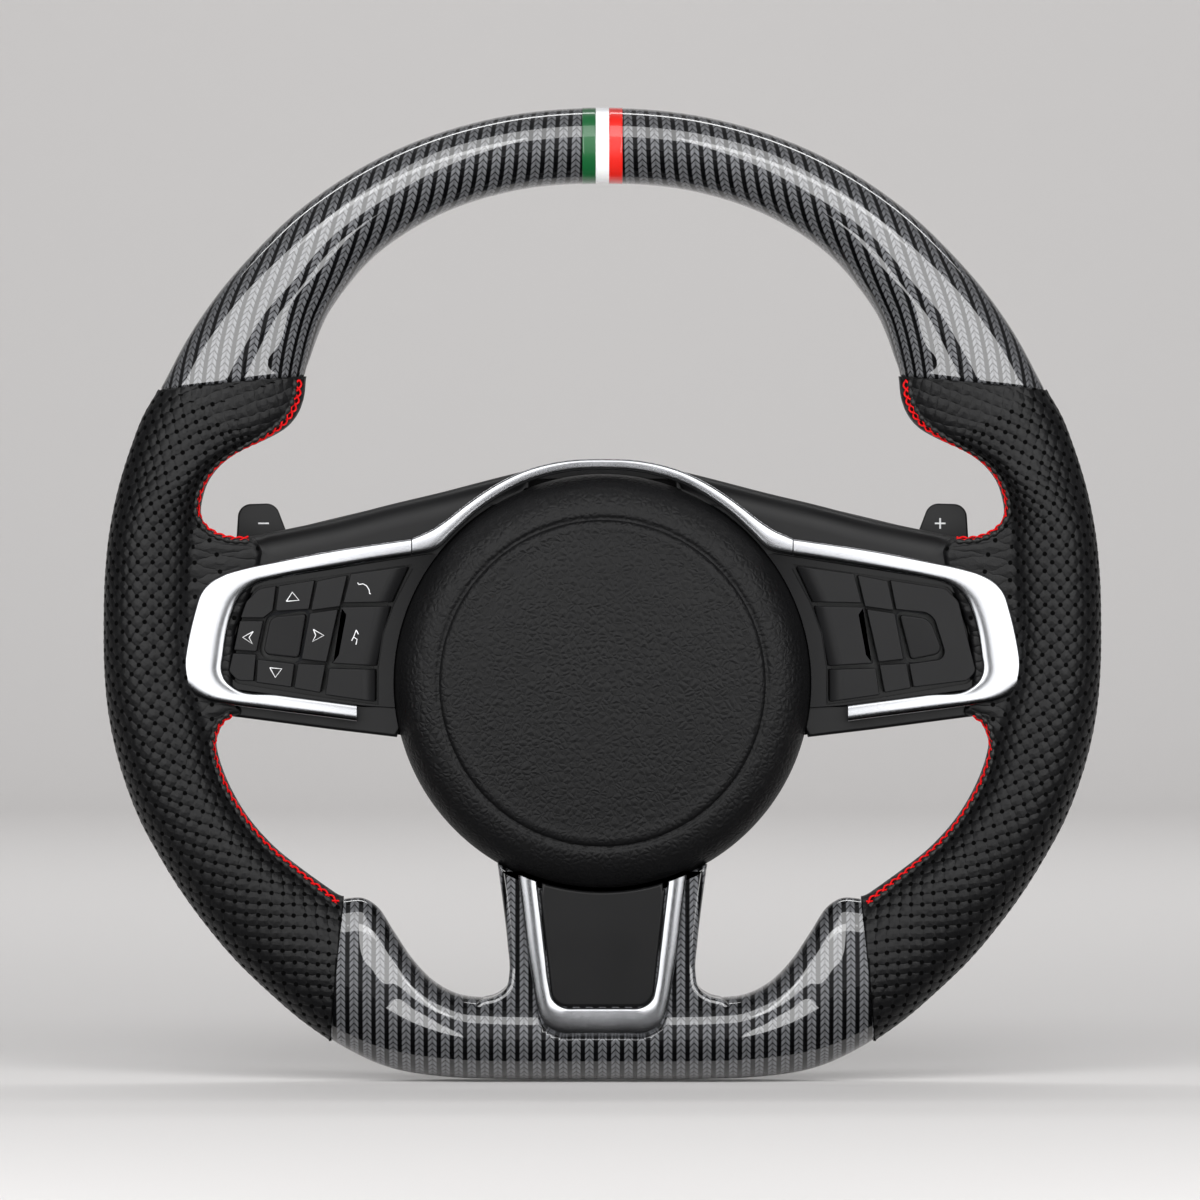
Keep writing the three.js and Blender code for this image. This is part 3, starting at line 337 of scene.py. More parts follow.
def bow_lay(points, centres):
    """The cloth lies flat on the middle of the front with its columns upright, leaning a little on
    the shoulders, and is drawn round the section from there to the middle of the back."""
    def lean(turn):
        return np.interp(np.degrees(turn), *np.array(COLUMN_LEAN).T)

    def section(at):
        turn = np.arctan2(np.abs(at[:, 0]), at[:, 2])
        outer, inner = (np.interp(turn, *edge) for edge in BOW_EDGES)
        reach = (2 * np.hypot(at[:, 0], at[:, 2]) - outer - inner) / (outer - inner)
        angle = np.arctan2(reach, (RIM_Y - at[:, 1]) / BOW_DEPTH)
        return turn, (outer + inner) / 2, (outer - inner) / 2, reach, angle

    turn, middle, half, reach, angle = section(points)
    lead = section(centres)[-1]
    angle -= 2 * np.pi * np.round((angle - lead) / (2 * np.pi))
    behind = np.sign(lead) * np.pi - angle
    front = half * reach + BOW_DEPTH * (angle - np.sin(angle))
    back = (np.sign(lead) * 2 * (half + (math.pi / 2 - 1) * BOW_DEPTH)
            - half * reach - BOW_DEPTH * (behind - np.sin(behind)))
    radius = middle + np.where(np.abs(lead) < math.pi / 2, front, back)
    steps = np.radians(np.linspace(0, 75, 151))
    mid_z = sum(np.interp(steps, *edge) for edge in BOW_EDGES) / 2 * np.cos(steps)
    slid = np.concatenate([[0], np.cumsum(lean((steps[1:] + steps[:-1]) / 2) * np.diff(mid_z))])
    z = radius * np.cos(turn)
    x = radius * np.sin(turn) + np.interp(turn, steps, slid) + lean(turn) * (z - np.interp(turn, steps, mid_z))
    return np.stack([np.sign(centres[:, 0]) * x, z], axis=-1)


def between(first, last):
    """The fine rows from one coarse row to another."""
    start, end = (int(np.argmin(np.abs(half_line[:, :4] - RIM_ROWS[row][:4]).sum(axis=1)))
                  for row in (first, last))
    return half_line[start:end + 1]


top_half = between(0, TOP_JOINT)
bow_rows = np.vstack([top_half[::-1], top_half[1:] * FLIP])
carbon_bow = skin_mesh("carbon_bow", rim_skin(bow_rows, AROUND, CARBON_SINK, end_round=0.6), lacquered_carbon)
cloth_map(carbon_bow, bow_lay)
show(carbon_bow, "wheel", "carbon", "upper_rim_shell")


# ------------------------------------------------------------------ the three bands
# Green, white and red bands of gloss enamel wrap the bow at the top, let in flush under the
# lacquer. They mark straight ahead.
BAND_WIDTH = 4.95
BANDS = (("green", "0b5a2c"), ("white", "f4f5f6"), ("red", "dc1b0e"))


def enamel(name, colour):
    """Gloss enamel: even colour with a faint mottle from the brush, under clear lacquer."""
    material, tree, shader = new_material(name, Roughness=0.35, Coat_Weight=1.0, Coat_Roughness=0.02)
    place = add(tree, "ShaderNodeTexCoord")
    mottle = add(tree, "ShaderNodeTexNoise", Vector=place.outputs["Object"], Scale=260.0, Detail=2.0)
    shade = add(tree, "ShaderNodeMix", {"data_type": "RGBA", "blend_type": "MULTIPLY"},
                Factor=0.12, A=hex_colour(colour), B=mottle.outputs["Color"])
    tree.links.new(shade.outputs["Result"], shader.inputs["Base Color"])
    return material


def sliced(piece, *planes):
    """Cuts the piece with planes (point, normal) in millimetres, keeps what lies behind each and
    closes the cut."""
    work = bmesh.new()
    work.from_mesh(piece.data)
    for point, normal in planes:
        cut = bmesh.ops.bisect_plane(
            work, geom=[*work.verts, *work.edges, *work.faces], dist=1e-7,
            plane_co=Vector(point) * 0.001, plane_no=Vector(normal), clear_outer=True)
        edges = [e for e in cut["geom_cut"] if isinstance(e, bmesh.types.BMEdge)]
        bmesh.ops.holes_fill(work, edges=edges, sides=0)
    bmesh.ops.recalc_face_normals(work, faces=work.faces)
    work.to_mesh(piece.data)
    work.free()
    return piece


near_top = smooth_rows(np.vstack([RIM_ROWS[1] * FLIP, RIM_ROWS[0], RIM_ROWS[1]]), 0.8,
                       RIM_ROWS[2] * FLIP, RIM_ROWS[2])
for i, (name, colour) in enumerate(BANDS):
    low = (i - 1.5) * BAND_WIDTH
    band = skin_mesh(f"band_{name}", rim_skin(near_top, AROUND, -0.2), enamel(f"enamel_{name}", colour))
    sliced(band, ((low, 0, 0), (-1, 0, 0)), ((low + BAND_WIDTH, 0, 0), (1, 0, 0)))
    show(band, "wheel", f"stripe_{name}", f"centre_stripe_{name}")


# ------------------------------------------------------------------ the leather grips
# Perforated leather wrapped wet over foam, from the bow down to the flat bottom and round the root
# of each spoke. It is drawn together along the inner edge and stands a little proud of the carbon.
ROOT = [(-168, 40), (-158, 34), (-149.6, 34.5), (-149, 31), (-146.5, 28.4), (-142.5, 26), (-138, 24.9),
        (-133, 24.8), (-129.5, 25.2), (-126, 20), (-128, 10), (-136, -10), (-137, -30), (-133, -41.2),
        (-138, -41.3), (-141.5, -44), (-143.5, -49), (-145, -56), (-150, -62), (-165, -62)]
ROOT_FRONT, ROOT_BACK = -69, -48


def rounded(corners, step=8):
    """An outline from corners (x, z, radius), with true arcs."""
    points = []
    count = len(corners)
    for i, (x, z, *rest) in enumerate(corners):
        here, radius = np.array([x, z], float), (rest[0] if rest else 0)
        before = np.array(corners[i - 1][:2], float) - here
        after = np.array(corners[(i + 1) % count][:2], float) - here
        la, lb = np.linalg.norm(before), np.linalg.norm(after)
        before, after = before / la, after / lb
        half = math.acos(max(-1, min(1, float(before @ after)))) / 2
        reach = min(radius / math.tan(half), la * 0.49, lb * 0.49)
        if reach < 0.02:
            points.append(here)
            continue
        true = reach * math.tan(half)
        centre = here + (before + after) / np.linalg.norm(before + after) * true / math.sin(half)
        start, end = here + before * reach - centre, here + after * reach - centre
        sweep = math.atan2(start[0] * end[1] - start[1] * end[0], float(start @ end))
        for a in np.linspace(0, sweep, max(2, round(abs(math.degrees(sweep)) / step)) + 1):
            points.append(centre + (start[0] * math.cos(a) - start[1] * math.sin(a),
                                    start[0] * math.sin(a) + start[1] * math.cos(a)))
    return np.array(points)


def flowing(points, step=1.5):
    """Points every step mm on a smooth open curve through the given ones."""
    knots = np.array(points, float)
    t = way_along(knots)
    return on_curve(knots, t, np.linspace(0, t[-1], max(2, round(t[-1] / step)) + 1))

def drawn_in(outline, distance):
    """The outline moved inwards; distance may differ from point to point. A run that would turn over
    is drawn to one point."""
    area = 0.5 * np.sum(outline[:, 0] * np.roll(outline[:, 1], -1) - np.roll(outline[:, 0], -1) * outline[:, 1])
    a = outline - np.roll(outline, 1, axis=0)
    b = np.roll(outline, -1, axis=0) - outline
    a /= np.linalg.norm(a, axis=1, keepdims=True) + 1e-12
    b /= np.linalg.norm(b, axis=1, keepdims=True) + 1e-12
    mid = a + b
    mid /= np.linalg.norm(mid, axis=1, keepdims=True) + 1e-12
    scale = np.asarray(distance) / np.maximum(0.5, np.sum(mid * a, axis=1)) * np.sign(area)
    moved = outline + np.stack([-mid[:, 1], mid[:, 0]], axis=-1) * scale[:, None]
    turned = np.sum((np.roll(moved, -1, axis=0) - moved) * b, axis=1) <= 0
    count = len(moved)
    for i in range(count):
        if turned[i] and not turned[i - 1]:
            j = i
            while turned[(j + 1) % count] and j - i < count:
                j += 1
            start, end = moved[i], moved[(j + 1) % count]
            first, last = b[i - 1], b[(j + 1) % count]
            cross = first[0] * last[1] - first[1] * last[0]
            gap = end - start
            meet = (start + end) / 2
            if abs(cross) > 0.05:
                meet = start + first * ((gap[0] * last[1] - gap[1] * last[0]) / cross)
            for k in range(i, j + 2):
                moved[k % count] = meet
    return moved


def slab(name, outline, front, back, material, edge=0.6, rise=None, back_edge=0.0, steps=4):
    """A moulded piece: an outline in X-Z from front to back. Its front edge is rounded, edge mm in
    and rise mm deep, and both may differ from point to point."""
    outline = np.asarray(outline, float)
    rise = edge if rise is None else rise
    levels = [(back_edge, back), (0, back - back_edge)] if back_edge else [(0, back)]
    for a in np.linspace(0, math.pi / 2, steps + 1):
        levels.append((edge * (1 - math.cos(a)), front + rise * (1 - math.sin(a))))
    rings = []
    for inset, y in levels:
        ring = drawn_in(outline, inset * np.ones(len(outline)))
        rings.append(np.stack([ring[:, 0], y * np.ones(len(outline)), ring[:, 1]], axis=-1))
    return even_normals(skin_mesh(name, np.array(rings), material))

def settled(piece, *modifiers):
    """Applies modifiers, each (kind, settings), and leaves a plain mesh."""
    for kind, values in modifiers:
        modifier = piece.modifiers.new(kind, kind)
        for key, value in values.items():
            setattr(modifier, key, value)
    seen = piece.evaluated_get(bpy.context.evaluated_depsgraph_get())
    mesh = bpy.data.meshes.new_from_object(seen)
    if not len(mesh.materials):
        for material in piece.data.materials:
            mesh.materials.append(material)
    piece.modifiers.clear()
    piece.data = mesh
    return piece


def even_normals(piece):
    """Flat faces stay flat to the eye and rounded edges run smoothly into them."""
    return settled(piece, ("WEIGHTED_NORMAL", {"keep_sharp": True, "weight": 80}))


def joined(name, *pieces):
    """Several meshes as one piece."""
    work = bmesh.new()
    for piece in pieces:
        work.from_mesh(piece.data)
    mesh = bpy.data.meshes.new(name)
    work.to_mesh(mesh)
    work.free()
    for material in pieces[0].data.materials:
        mesh.materials.append(material)
    mesh.polygons.foreach_set("use_smooth", [True] * len(mesh.polygons))
    for piece in pieces:
        bpy.data.objects.remove(piece)
    return placed(name, mesh)


def melted(piece, voxel, passes):
    """Solids that run into each other as one skin, with the hollows between them filled a little."""
    settled(piece, ("REMESH", {"mode": "VOXEL", "voxel_size": voxel * 0.001, "use_smooth_shade": True}))
    return settled(piece, ("SMOOTH", {"factor": 0.5, "iterations": passes}))


def turned_over(points, side):
    return np.asarray(points, float) * (-side, 1)


HOLE_PITCH = 6.3  # along the grip
HOLE_ROW = 3.0  # from row to row round it
GRIP_CORE = 16.6  # from the outer edge to the line that the perforations fan out from


def perforated_leather(name):
    """Black wrapped leather: a fine pebbled grain, soft creases between the holes, and a dull
    sheen that varies a little from patch to patch."""
    material, tree, shader = new_material(name, Specular_IOR_Level=0.22)
    place = add(tree, "ShaderNodeTexCoord")
    lay = add(tree, "ShaderNodeUVMap", {"uv_map": "cloth"})
    sheet = add(tree, "ShaderNodeVectorMath", {"operation": "SCALE"}, _0=lay.outputs[0], Scale=SHEET)
    split = add(tree, "ShaderNodeSeparateXYZ", Vector=sheet.outputs[0])

    maths = partial(number, tree)
    pull = add(tree, "ShaderNodeTexNoise", Vector=place.outputs["Object"], Scale=260.0, Detail=1.0)
    slack = add(tree, "ShaderNodeSeparateColor", Color=pull.outputs["Color"])
    u = maths("MULTIPLY_ADD", slack.outputs[0], 0.3, maths("DIVIDE", split.outputs["X"], HOLE_PITCH))
    v = maths("MULTIPLY_ADD", slack.outputs[1], 0.3, maths("DIVIDE", split.outputs["Y"], HOLE_ROW * 2))
    u, v = maths("SUBTRACT", u, 0.15), maths("SUBTRACT", v, 0.15)
    plus, minus = maths("ADD", u, v), maths("SUBTRACT", u, v)
    crease_a, crease_b = maths("PINGPONG", plus, 0.5), maths("PINGPONG", minus, 0.5)
    pillow = maths("POWER", maths("MULTIPLY", maths("MULTIPLY", crease_a, crease_b), 4.0), 0.55)
    grain = add(tree, "ShaderNodeTexVoronoi", {"feature": "F1"}, Vector=place.outputs["Object"], Scale=1400.0)
    pores = add(tree, "ShaderNodeTexNoise", Vector=place.outputs["Object"], Scale=2600.0, Detail=3.0)
    broad = add(tree, "ShaderNodeTexNoise", Vector=place.outputs["Object"], Scale=38.0, Detail=3.0)
    rough = maths("MULTIPLY_ADD", broad.outputs["Fac"], 0.22, 0.3)
    tree.links.new(rough, shader.inputs["Roughness"])
    tint = add(tree, "ShaderNodeMix", {"data_type": "RGBA"}, Factor=broad.outputs["Fac"],
               A=hex_colour("0b0b0c"), B=hex_colour("131314"))
    tree.links.new(tint.outputs["Result"], shader.inputs["Base Color"])
    fine = maths("MULTIPLY_ADD", grain.outputs["Distance"], 0.8, pores.outputs["Fac"])
    first = add(tree, "ShaderNodeBump", Strength=0.35, Distance=0.00012, Height=fine)
    second = add(tree, "ShaderNodeBump", Strength=1.0, Distance=0.00036, Height=pillow,
                 Normal=first.outputs[0])
    tree.links.new(second.outputs[0], shader.inputs["Normal"])
    return material


grip_rows = between(TOP_JOINT, LOW_JOINT)
core_line = grip_rows[:, :2] + (grip_rows[:, 2:4] - grip_rows[:, :2]) * (
    GRIP_CORE / np.linalg.norm(grip_rows[:, 2:4] - grip_rows[:, :2], axis=1, keepdims=True))
core_way = way_along(core_line)


section_rings = rim_skin(grip_rows, 180)
LAY_START, LAY_SHIFT = 8 * HOLE_PITCH, 66 * HOLE_ROW  # keep the map's numbers above zero


def section_turn(y, outwards):
    return np.arctan2(RIM_Y - y, outwards)


def grip_lay(points, centres):
    """Along the grip's core, and round each section by the leather's own length, from the outer
    edge. The two ends of the leather meet along the inner edge."""
    tangent = np.gradient(core_line, axis=0)
    tangent /= np.linalg.norm(tangent, axis=1, keepdims=True)
    outward_way = np.stack([tangent[:, 1], -tangent[:, 0]], axis=-1)
    flat = np.stack([-np.abs(points[:, 0]), points[:, 2]], axis=-1)
    middle = np.stack([-np.abs(centres[:, 0]), centres[:, 2]], axis=-1)
    nearest = np.empty(len(flat), int)
    for i in range(0, len(flat), 4000):
        gap = np.linalg.norm(flat[i:i + 4000, None] - core_line[None], axis=2)
        nearest[i:i + 4000] = np.argmin(gap, axis=1)
    along = core_way[nearest] + np.sum((flat - core_line[nearest]) * tangent[nearest], axis=1)
    angle = section_turn(points[:, 1], np.sum((flat - core_line[nearest]) * outward_way[nearest], axis=1))
    lead = section_turn(centres[:, 1], np.sum((middle - core_line[nearest]) * outward_way[nearest], axis=1))
    angle -= 2 * np.pi * np.round((angle - lead) / (2 * np.pi))
    way = np.empty(len(flat))
    for row in np.unique(nearest):
        here = nearest == row
        ring = section_rings[row][:91]
        out = (ring[:, [0, 2]] - core_line[row]) @ outward_way[row]
        turn = section_turn(ring[:, 1], out)
        length = way_along(ring)
        order = np.argsort(turn)
        size = np.interp(np.abs(angle[here]), turn[order], length[order])
        over = np.abs(angle[here]) - np.pi
        way[here] = np.sign(angle[here]) * (size + np.maximum(over, 0) * 12)
    return np.stack([along + LAY_START, way + LAY_SHIFT], axis=-1)


leather = perforated_leather("perforated_black_leather")
LEATHER_PROUD = 0.5
SIDES = ((-1, "left"), (1, "right"))


def joint_plane(row, side, outwards):
    """The plane through a rim row, across the rim."""
    ox, oz, ix, iz = row[:4]
    across = np.array([ox - ix, oz - iz])
    normal = np.array([across[1], -across[0]]) / np.linalg.norm(across) * outwards
    return (-side * ox, 0, oz), (-side * normal[0], 0, normal[1])


beyond_top, beyond_low = between(TOP_JOINT - 1, TOP_JOINT)[-5:-1], between(LOW_JOINT, LOW_JOINT + 1)[1:5]
grips = {}
for side, hand in SIDES:
    flip = 1 if side < 0 else FLIP
    rows = np.vstack([beyond_top, grip_rows, beyond_low]) * flip
    tube = skin_mesh("tube", rim_skin(rows, 72, LEATHER_PROUD), leather)
    root = slab("root", turned_over(ROOT, side), ROOT_FRONT, ROOT_BACK, leather, edge=2.5, back_edge=2.5)
    grip = melted(joined(f"{hand}_leather_grip", tube, root), 1.25, 14)
    sliced(grip, joint_plane(RIM_ROWS[TOP_JOINT], side, 1), joint_plane(RIM_ROWS[LOW_JOINT], side, -1))
    cloth_map(grip, grip_lay)
    for polygon in grip.data.polygons:
        polygon.use_smooth = len(polygon.vertices) <= 4
    grips[hand] = show(grip, "wheel", "leather", f"{hand}_grip_leather")


# ------------------------------------------------------------------ holes and stitches of the grips
# The leather is punched in a diamond lattice before it is wrapped. Its edges are drawn together
# along the inner side with red waxed thread, which crosses over a puckered black edge.
def by_rule(name, inputs, build):
    """Runs a Geometry Nodes tree with named inputs and keeps its result as a plain mesh.
    inputs are name: (socket kind, value), and build(tree, given) returns the last socket."""
    tree = bpy.data.node_groups.new(name, "GeometryNodeTree")
    tree.interface.new_socket("Geometry", in_out="INPUT", socket_type="NodeSocketGeometry")
    tree.interface.new_socket("Geometry", in_out="OUTPUT", socket_type="NodeSocketGeometry")
    sockets = {key: tree.interface.new_socket(key, in_out="INPUT", socket_type="NodeSocket" + kind)
               for key, (kind, _) in inputs.items()}
    given = add(tree, "NodeGroupInput").outputs
    single = add(tree, "GeometryNodeRealizeInstances", _0=build(tree, given))
    dressed = add(tree, "GeometryNodeSetMaterial", Geometry=single.outputs[0], Material=given["Material"])
    add(tree, "NodeGroupOutput", _0=dressed.outputs[0])
    piece = placed(name, bpy.data.meshes.new(name))
    modifier = piece.modifiers.new(name, "NODES")
    modifier.node_group = tree
    for key, (_, value) in inputs.items():
        modifier[sockets[key].identifier] = value
    return settled(piece)


def worked(name, low, high, grain, depth, roughness, **principled):
    """A finish with a colour that wanders between two, a fine texture (grain and depth in mm) and
    a gloss that varies a little, as handling and moulding leave it."""
    material, tree, shader = new_material(name, **principled)
    place = add(tree, "ShaderNodeTexCoord")
    broad = add(tree, "ShaderNodeTexNoise", Vector=place.outputs["Object"], Scale=45.0, Detail=4.0)
    fine = add(tree, "ShaderNodeTexNoise", Vector=place.outputs["Object"], Scale=1000 / grain, Detail=2.0)
    tint = add(tree, "ShaderNodeMix", {"data_type": "RGBA"}, Factor=broad.outputs["Fac"],
               A=hex_colour(low), B=hex_colour(high))
    gloss = add(tree, "ShaderNodeMapRange", Value=broad.outputs["Fac"], From_Min=0.3, From_Max=0.7,
                To_Min=roughness * 0.88, To_Max=roughness * 1.12)
    bump = add(tree, "ShaderNodeBump", Strength=0.6, Distance=depth * 0.001, Height=fine.outputs["Fac"])
    tree.links.new(tint.outputs["Result"], shader.inputs["Base Color"])
    tree.links.new(gloss.outputs[0], shader.inputs["Roughness"])
    tree.links.new(bump.outputs[0], shader.inputs["Normal"])
    return material


def polyline(name, points, directions):
    """A chain of edges through points in millimetres, as a guide that is removed later."""
    mesh = bpy.data.meshes.new(name)
    mesh.from_pydata((np.asarray(points) * 0.001).tolist(), [(i, i + 1) for i in range(len(points) - 1)], [])
    opening = mesh.attributes.new("opening", "FLOAT_VECTOR", "POINT")
    opening.data.foreach_set("vector", np.asarray(directions, float).ravel())
    return placed(name, mesh)

def punched(tree, given):
    """Holes on a diamond lattice of the leather's own map, each stood square on the leather."""
    maths = partial(number, tree)

    skin = add(tree, "GeometryNodeObjectInfo", Object=given["Leather"]).outputs["Geometry"]
    seam = add(tree, "GeometryNodeObjectInfo", Object=given["Seam"]).outputs["Geometry"]
    lattice = add(tree, "GeometryNodeMeshGrid", Vertices_X=given["Along"], Vertices_Y=given["Round"])
    index = add(tree, "GeometryNodeInputIndex").outputs[0]
    row = maths("MODULO", index, given["Round"])
    column = maths("FLOOR", maths("DIVIDE", maths("ADD", index, 0.5), given["Round"]))
    offset = maths("MULTIPLY", maths("MODULO", row, 2.0), 0.5)
    along = maths("MULTIPLY", maths("ADD", column, offset), given["Pitch"])
    across = maths("ADD", maths("MULTIPLY", row, given["Row"]), given["First"])
    spot = add(tree, "ShaderNodeCombineXYZ", X=along, Y=across).outputs[0]
    cloth = add(tree, "GeometryNodeInputNamedAttribute", {"data_type": "FLOAT_VECTOR"}, Name="cloth").outputs[0]
    found = []
    for field in ("GeometryNodeInputPosition", "GeometryNodeInputNormal"):
        found.append(add(tree, "GeometryNodeSampleUVSurface", {"data_type": "FLOAT_VECTOR"}, Mesh=skin,
                         Value=add(tree, field).outputs[0], Source_UV_Map=cloth, Sample_UV=spot))
    lie = add(tree, "GeometryNodeStoreNamedAttribute", {"data_type": "FLOAT_VECTOR", "domain": "POINT"},
              Geometry=lattice.outputs[0], Name="lie", Value=found[1].outputs["Value"])
    there = add(tree, "GeometryNodeStoreNamedAttribute", {"data_type": "BOOLEAN", "domain": "POINT"},
                Geometry=lie.outputs[0], Name="there", Value=found[0].outputs["Is Valid"])
    placed = add(tree, "GeometryNodeSetPosition", Geometry=there.outputs[0], Position=found[0].outputs["Value"])
    clear = add(tree, "GeometryNodeProximity", {"target_element": "EDGES"}, Geometry=seam).outputs["Distance"]
    on_leather = add(tree, "GeometryNodeInputNamedAttribute", {"data_type": "BOOLEAN"}, Name="there").outputs[0]
    kept = maths("MULTIPLY", on_leather, maths("GREATER_THAN", clear, given["Margin"]))
    way_up = add(tree, "GeometryNodeInputNamedAttribute", {"data_type": "FLOAT_VECTOR"}, Name="lie").outputs[0]
    square = add(tree, "FunctionNodeAlignRotationToVector", {"axis": "Z"}, Vector=way_up)
    hole = add(tree, "GeometryNodeMeshCylinder", Vertices=8, Radius=given["Radius"], Depth=0.0004)
    low = add(tree, "GeometryNodeTransform", Geometry=hole.outputs[0], Translation=(0, 0, -0.00014))
    return add(tree, "GeometryNodeInstanceOnPoints", Points=placed.outputs[0], Selection=kept,
               Instance=low.outputs[0], Rotation=square.outputs[0]).outputs[0]


def sewn(tree, given):
    """A thread that swings from side to side of a seam, laid on the leather."""
    maths = partial(number, tree)

    def vectors(kind, a, b=(0, 0, 0), **more):
        return add(tree, "ShaderNodeVectorMath", {"operation": kind}, _0=a, _1=b, **more).outputs[0]

    skin = add(tree, "GeometryNodeObjectInfo", Object=given["Leather"]).outputs["Geometry"]
    seam = add(tree, "GeometryNodeObjectInfo", Object=given["Seam"]).outputs["Geometry"]
    line = add(tree, "GeometryNodeMeshToCurve", Mesh=seam)
    fine = add(tree, "GeometryNodeResampleCurve", {"mode": "LENGTH"}, Curve=line.outputs[0], Length=0.0004)
    opening = add(tree, "GeometryNodeInputNamedAttribute", {"data_type": "FLOAT_VECTOR"}, Name="opening").outputs[0]
    start = vectors("ADD", add(tree, "GeometryNodeInputPosition").outputs[0],
                    vectors("ADD", vectors("SCALE", opening, Scale=0.012), (0, -0.018, 0)))
    towards = vectors("ADD", vectors("SCALE", opening, Scale=-0.75), (0, 0.66, 0))
    hit = add(tree, "GeometryNodeRaycast", Target_Geometry=skin, Source_Position=start,
              Ray_Direction=towards, Ray_Length=0.06)
    way = add(tree, "GeometryNodeSplineParameter").outputs["Length"]
    turn = maths("ADD", maths("MULTIPLY", maths("DIVIDE", way, given["Pitch"]), 2 * math.pi), given["Phase"])
    sideways = vectors("NORMALIZE", vectors("CROSS_PRODUCT", hit.outputs["Hit Normal"],
                                            add(tree, "GeometryNodeInputTangent").outputs[0]))
    swing = maths("ADD", maths("MULTIPLY", maths("SINE", turn), given["Swing"]), given["Aside"])
    lift = maths("ADD", maths("MULTIPLY", maths("COSINE", turn), given["Lift"]), given["Lift"])
    moved = vectors("ADD", vectors("SCALE", sideways, Scale=swing),
                    vectors("SCALE", hit.outputs["Hit Normal"], Scale=lift))
    laid = add(tree, "GeometryNodeSetPosition", Geometry=fine.outputs[0],
               Position=vectors("ADD", hit.outputs["Hit Position"], moved))
    swell = maths("ADD", maths("MULTIPLY", maths("ABSOLUTE", maths("SINE", turn)), given["Swell"]), 1.0)
    thickness = maths("MULTIPLY", swell, given["Radius"])
    sized = add(tree, "GeometryNodeSetCurveRadius", Curve=laid.outputs[0], Radius=thickness)
    ring = add(tree, "GeometryNodeCurvePrimitiveCircle", Resolution=8, Radius=1.0)
    tube = add(tree, "GeometryNodeCurveToMesh", Curve=sized.outputs[0], Profile_Curve=ring.outputs[0], Fill_Caps=True)
    if "Scale" in tube.inputs:
        tree.links.new(thickness, tube.inputs["Scale"])
    return tube.outputs[0]


UPPER_SEAM = [(-110.6, 83.2), (-111, 77), (-114, 70), (-118, 66), (-125, 62), (-135, 57), (-142, 52), (-147, 46),
              (-149.5, 40), (-149.2, 34), (-146.2, 29), (-141, 26), (-135, 24.6), (-131.5, 25)]
LOWER_SEAM = [(-137.5, -41.2), (-142, -45), (-143.5, -50), (-143, -56), (-140, -66), (-134, -76), (-126, -87),
              (-115, -96), (-105, -104), (-97.6, -109.6)]
# the leather is left whole along this line, where the switch pack and its trim cover it
UNDER_TRIM = [(-130, 14), (-143, 10), (-132, -4), (-147, -14), (-134, -22), (-146, -30), (-136, -36)]
hole_black = worked("punched_hole_shadow", "020202", "050505", 0.4, 0.02, 0.9, Specular_IOR_Level=0.05)
red_thread = worked("red_waxed_thread", "c80008", "f0060c", 0.35, 0.06, 0.6, Specular_IOR_Level=0.25)
black_edge = worked("puckered_leather_edge", "0a0a0a", "141414", 0.5, 0.1, 0.55)


def openings(points):
    """The direction from a seam into the opening beside it."""
    d = np.gradient(points, axis=0)
    d /= np.linalg.norm(d, axis=1, keepdims=True)
    return np.stack([-d[:, 1], np.zeros(len(d)), d[:, 0]], axis=-1)


HOLE_ROWS, HOLE_RADIUS, HOLE_MARGIN = 56, 0.0009, 0.0078
STITCH_PITCH = 0.0068

def strand(name, grip, seam, finish, phase, swing, aside, lift, swell, radius):
    """One strand along a seam of a grip. Its lengths are in metres."""
    return by_rule(name, {
        "Leather": ("Object", grip), "Seam": ("Object", seam), "Pitch": ("Float", STITCH_PITCH),
        "Phase": ("Float", phase), "Swing": ("Float", swing), "Aside": ("Float", aside), "Lift": ("Float", lift),
        "Swell": ("Float", swell), "Radius": ("Float", radius), "Material": ("Material", finish)}, sewn)

for side, hand in SIDES:
    seams, threads, edges = [], [], []
    flip = np.array([-side, 1, 1])
    for corners in (UPPER_SEAM, LOWER_SEAM):
        line = flowing(corners, 1.0)
        spots = np.stack([line[:, 0], np.full(len(line), RIM_Y), line[:, 1]], axis=-1)
        seams.append(polyline("seam", spots * flip, openings(line) * flip))
    covered = flowing(UNDER_TRIM, 1.0)
    spots = np.stack([covered[:, 0], np.full(len(covered), RIM_Y), covered[:, 1]], axis=-1)
    copies = [bpy.data.objects.new("seam_copy", seam.data.copy()) for seam in seams]
    unpunched = joined("unpunched", *copies, polyline("covered", spots * flip, openings(covered)))
    holes = by_rule(f"{hand}_perforations", {
        "Leather": ("Object", grips[hand]), "Seam": ("Object", unpunched),
        "Along": ("Int", int(core_way[-1] / HOLE_PITCH) + 14), "Round": ("Int", HOLE_ROWS),
        "Pitch": ("Float", HOLE_PITCH / SHEET), "Row": ("Float", HOLE_ROW / SHEET),
        "First": ("Float", (LAY_SHIFT - HOLE_ROWS / 2 * HOLE_ROW) / SHEET), "Radius": ("Float", HOLE_RADIUS),
        "Margin": ("Float", HOLE_MARGIN), "Material": ("Material", hole_black)}, punched)
    for seam in seams:
        threads += [strand("thread", grips[hand], seam, red_thread, phase, 0.0013, 0.0, 0.0002, 0.0, 0.00038)
                    for phase in (0.0, math.pi)]
        edges.append(strand("edge", grips[hand], seam, black_edge, 0.0, 0.0, 0.0018 * side, -0.0001, 1.6, 0.00045))
    show(holes, "wheel", "leather")
    show(joined(f"{hand}_red_stitching", *threads), "wheel", "leather")
    show(joined(f"{hand}_puckered_edge", *edges), "wheel", "leather")
    for guide in (unpunched, *seams):
        bpy.data.objects.remove(guide)


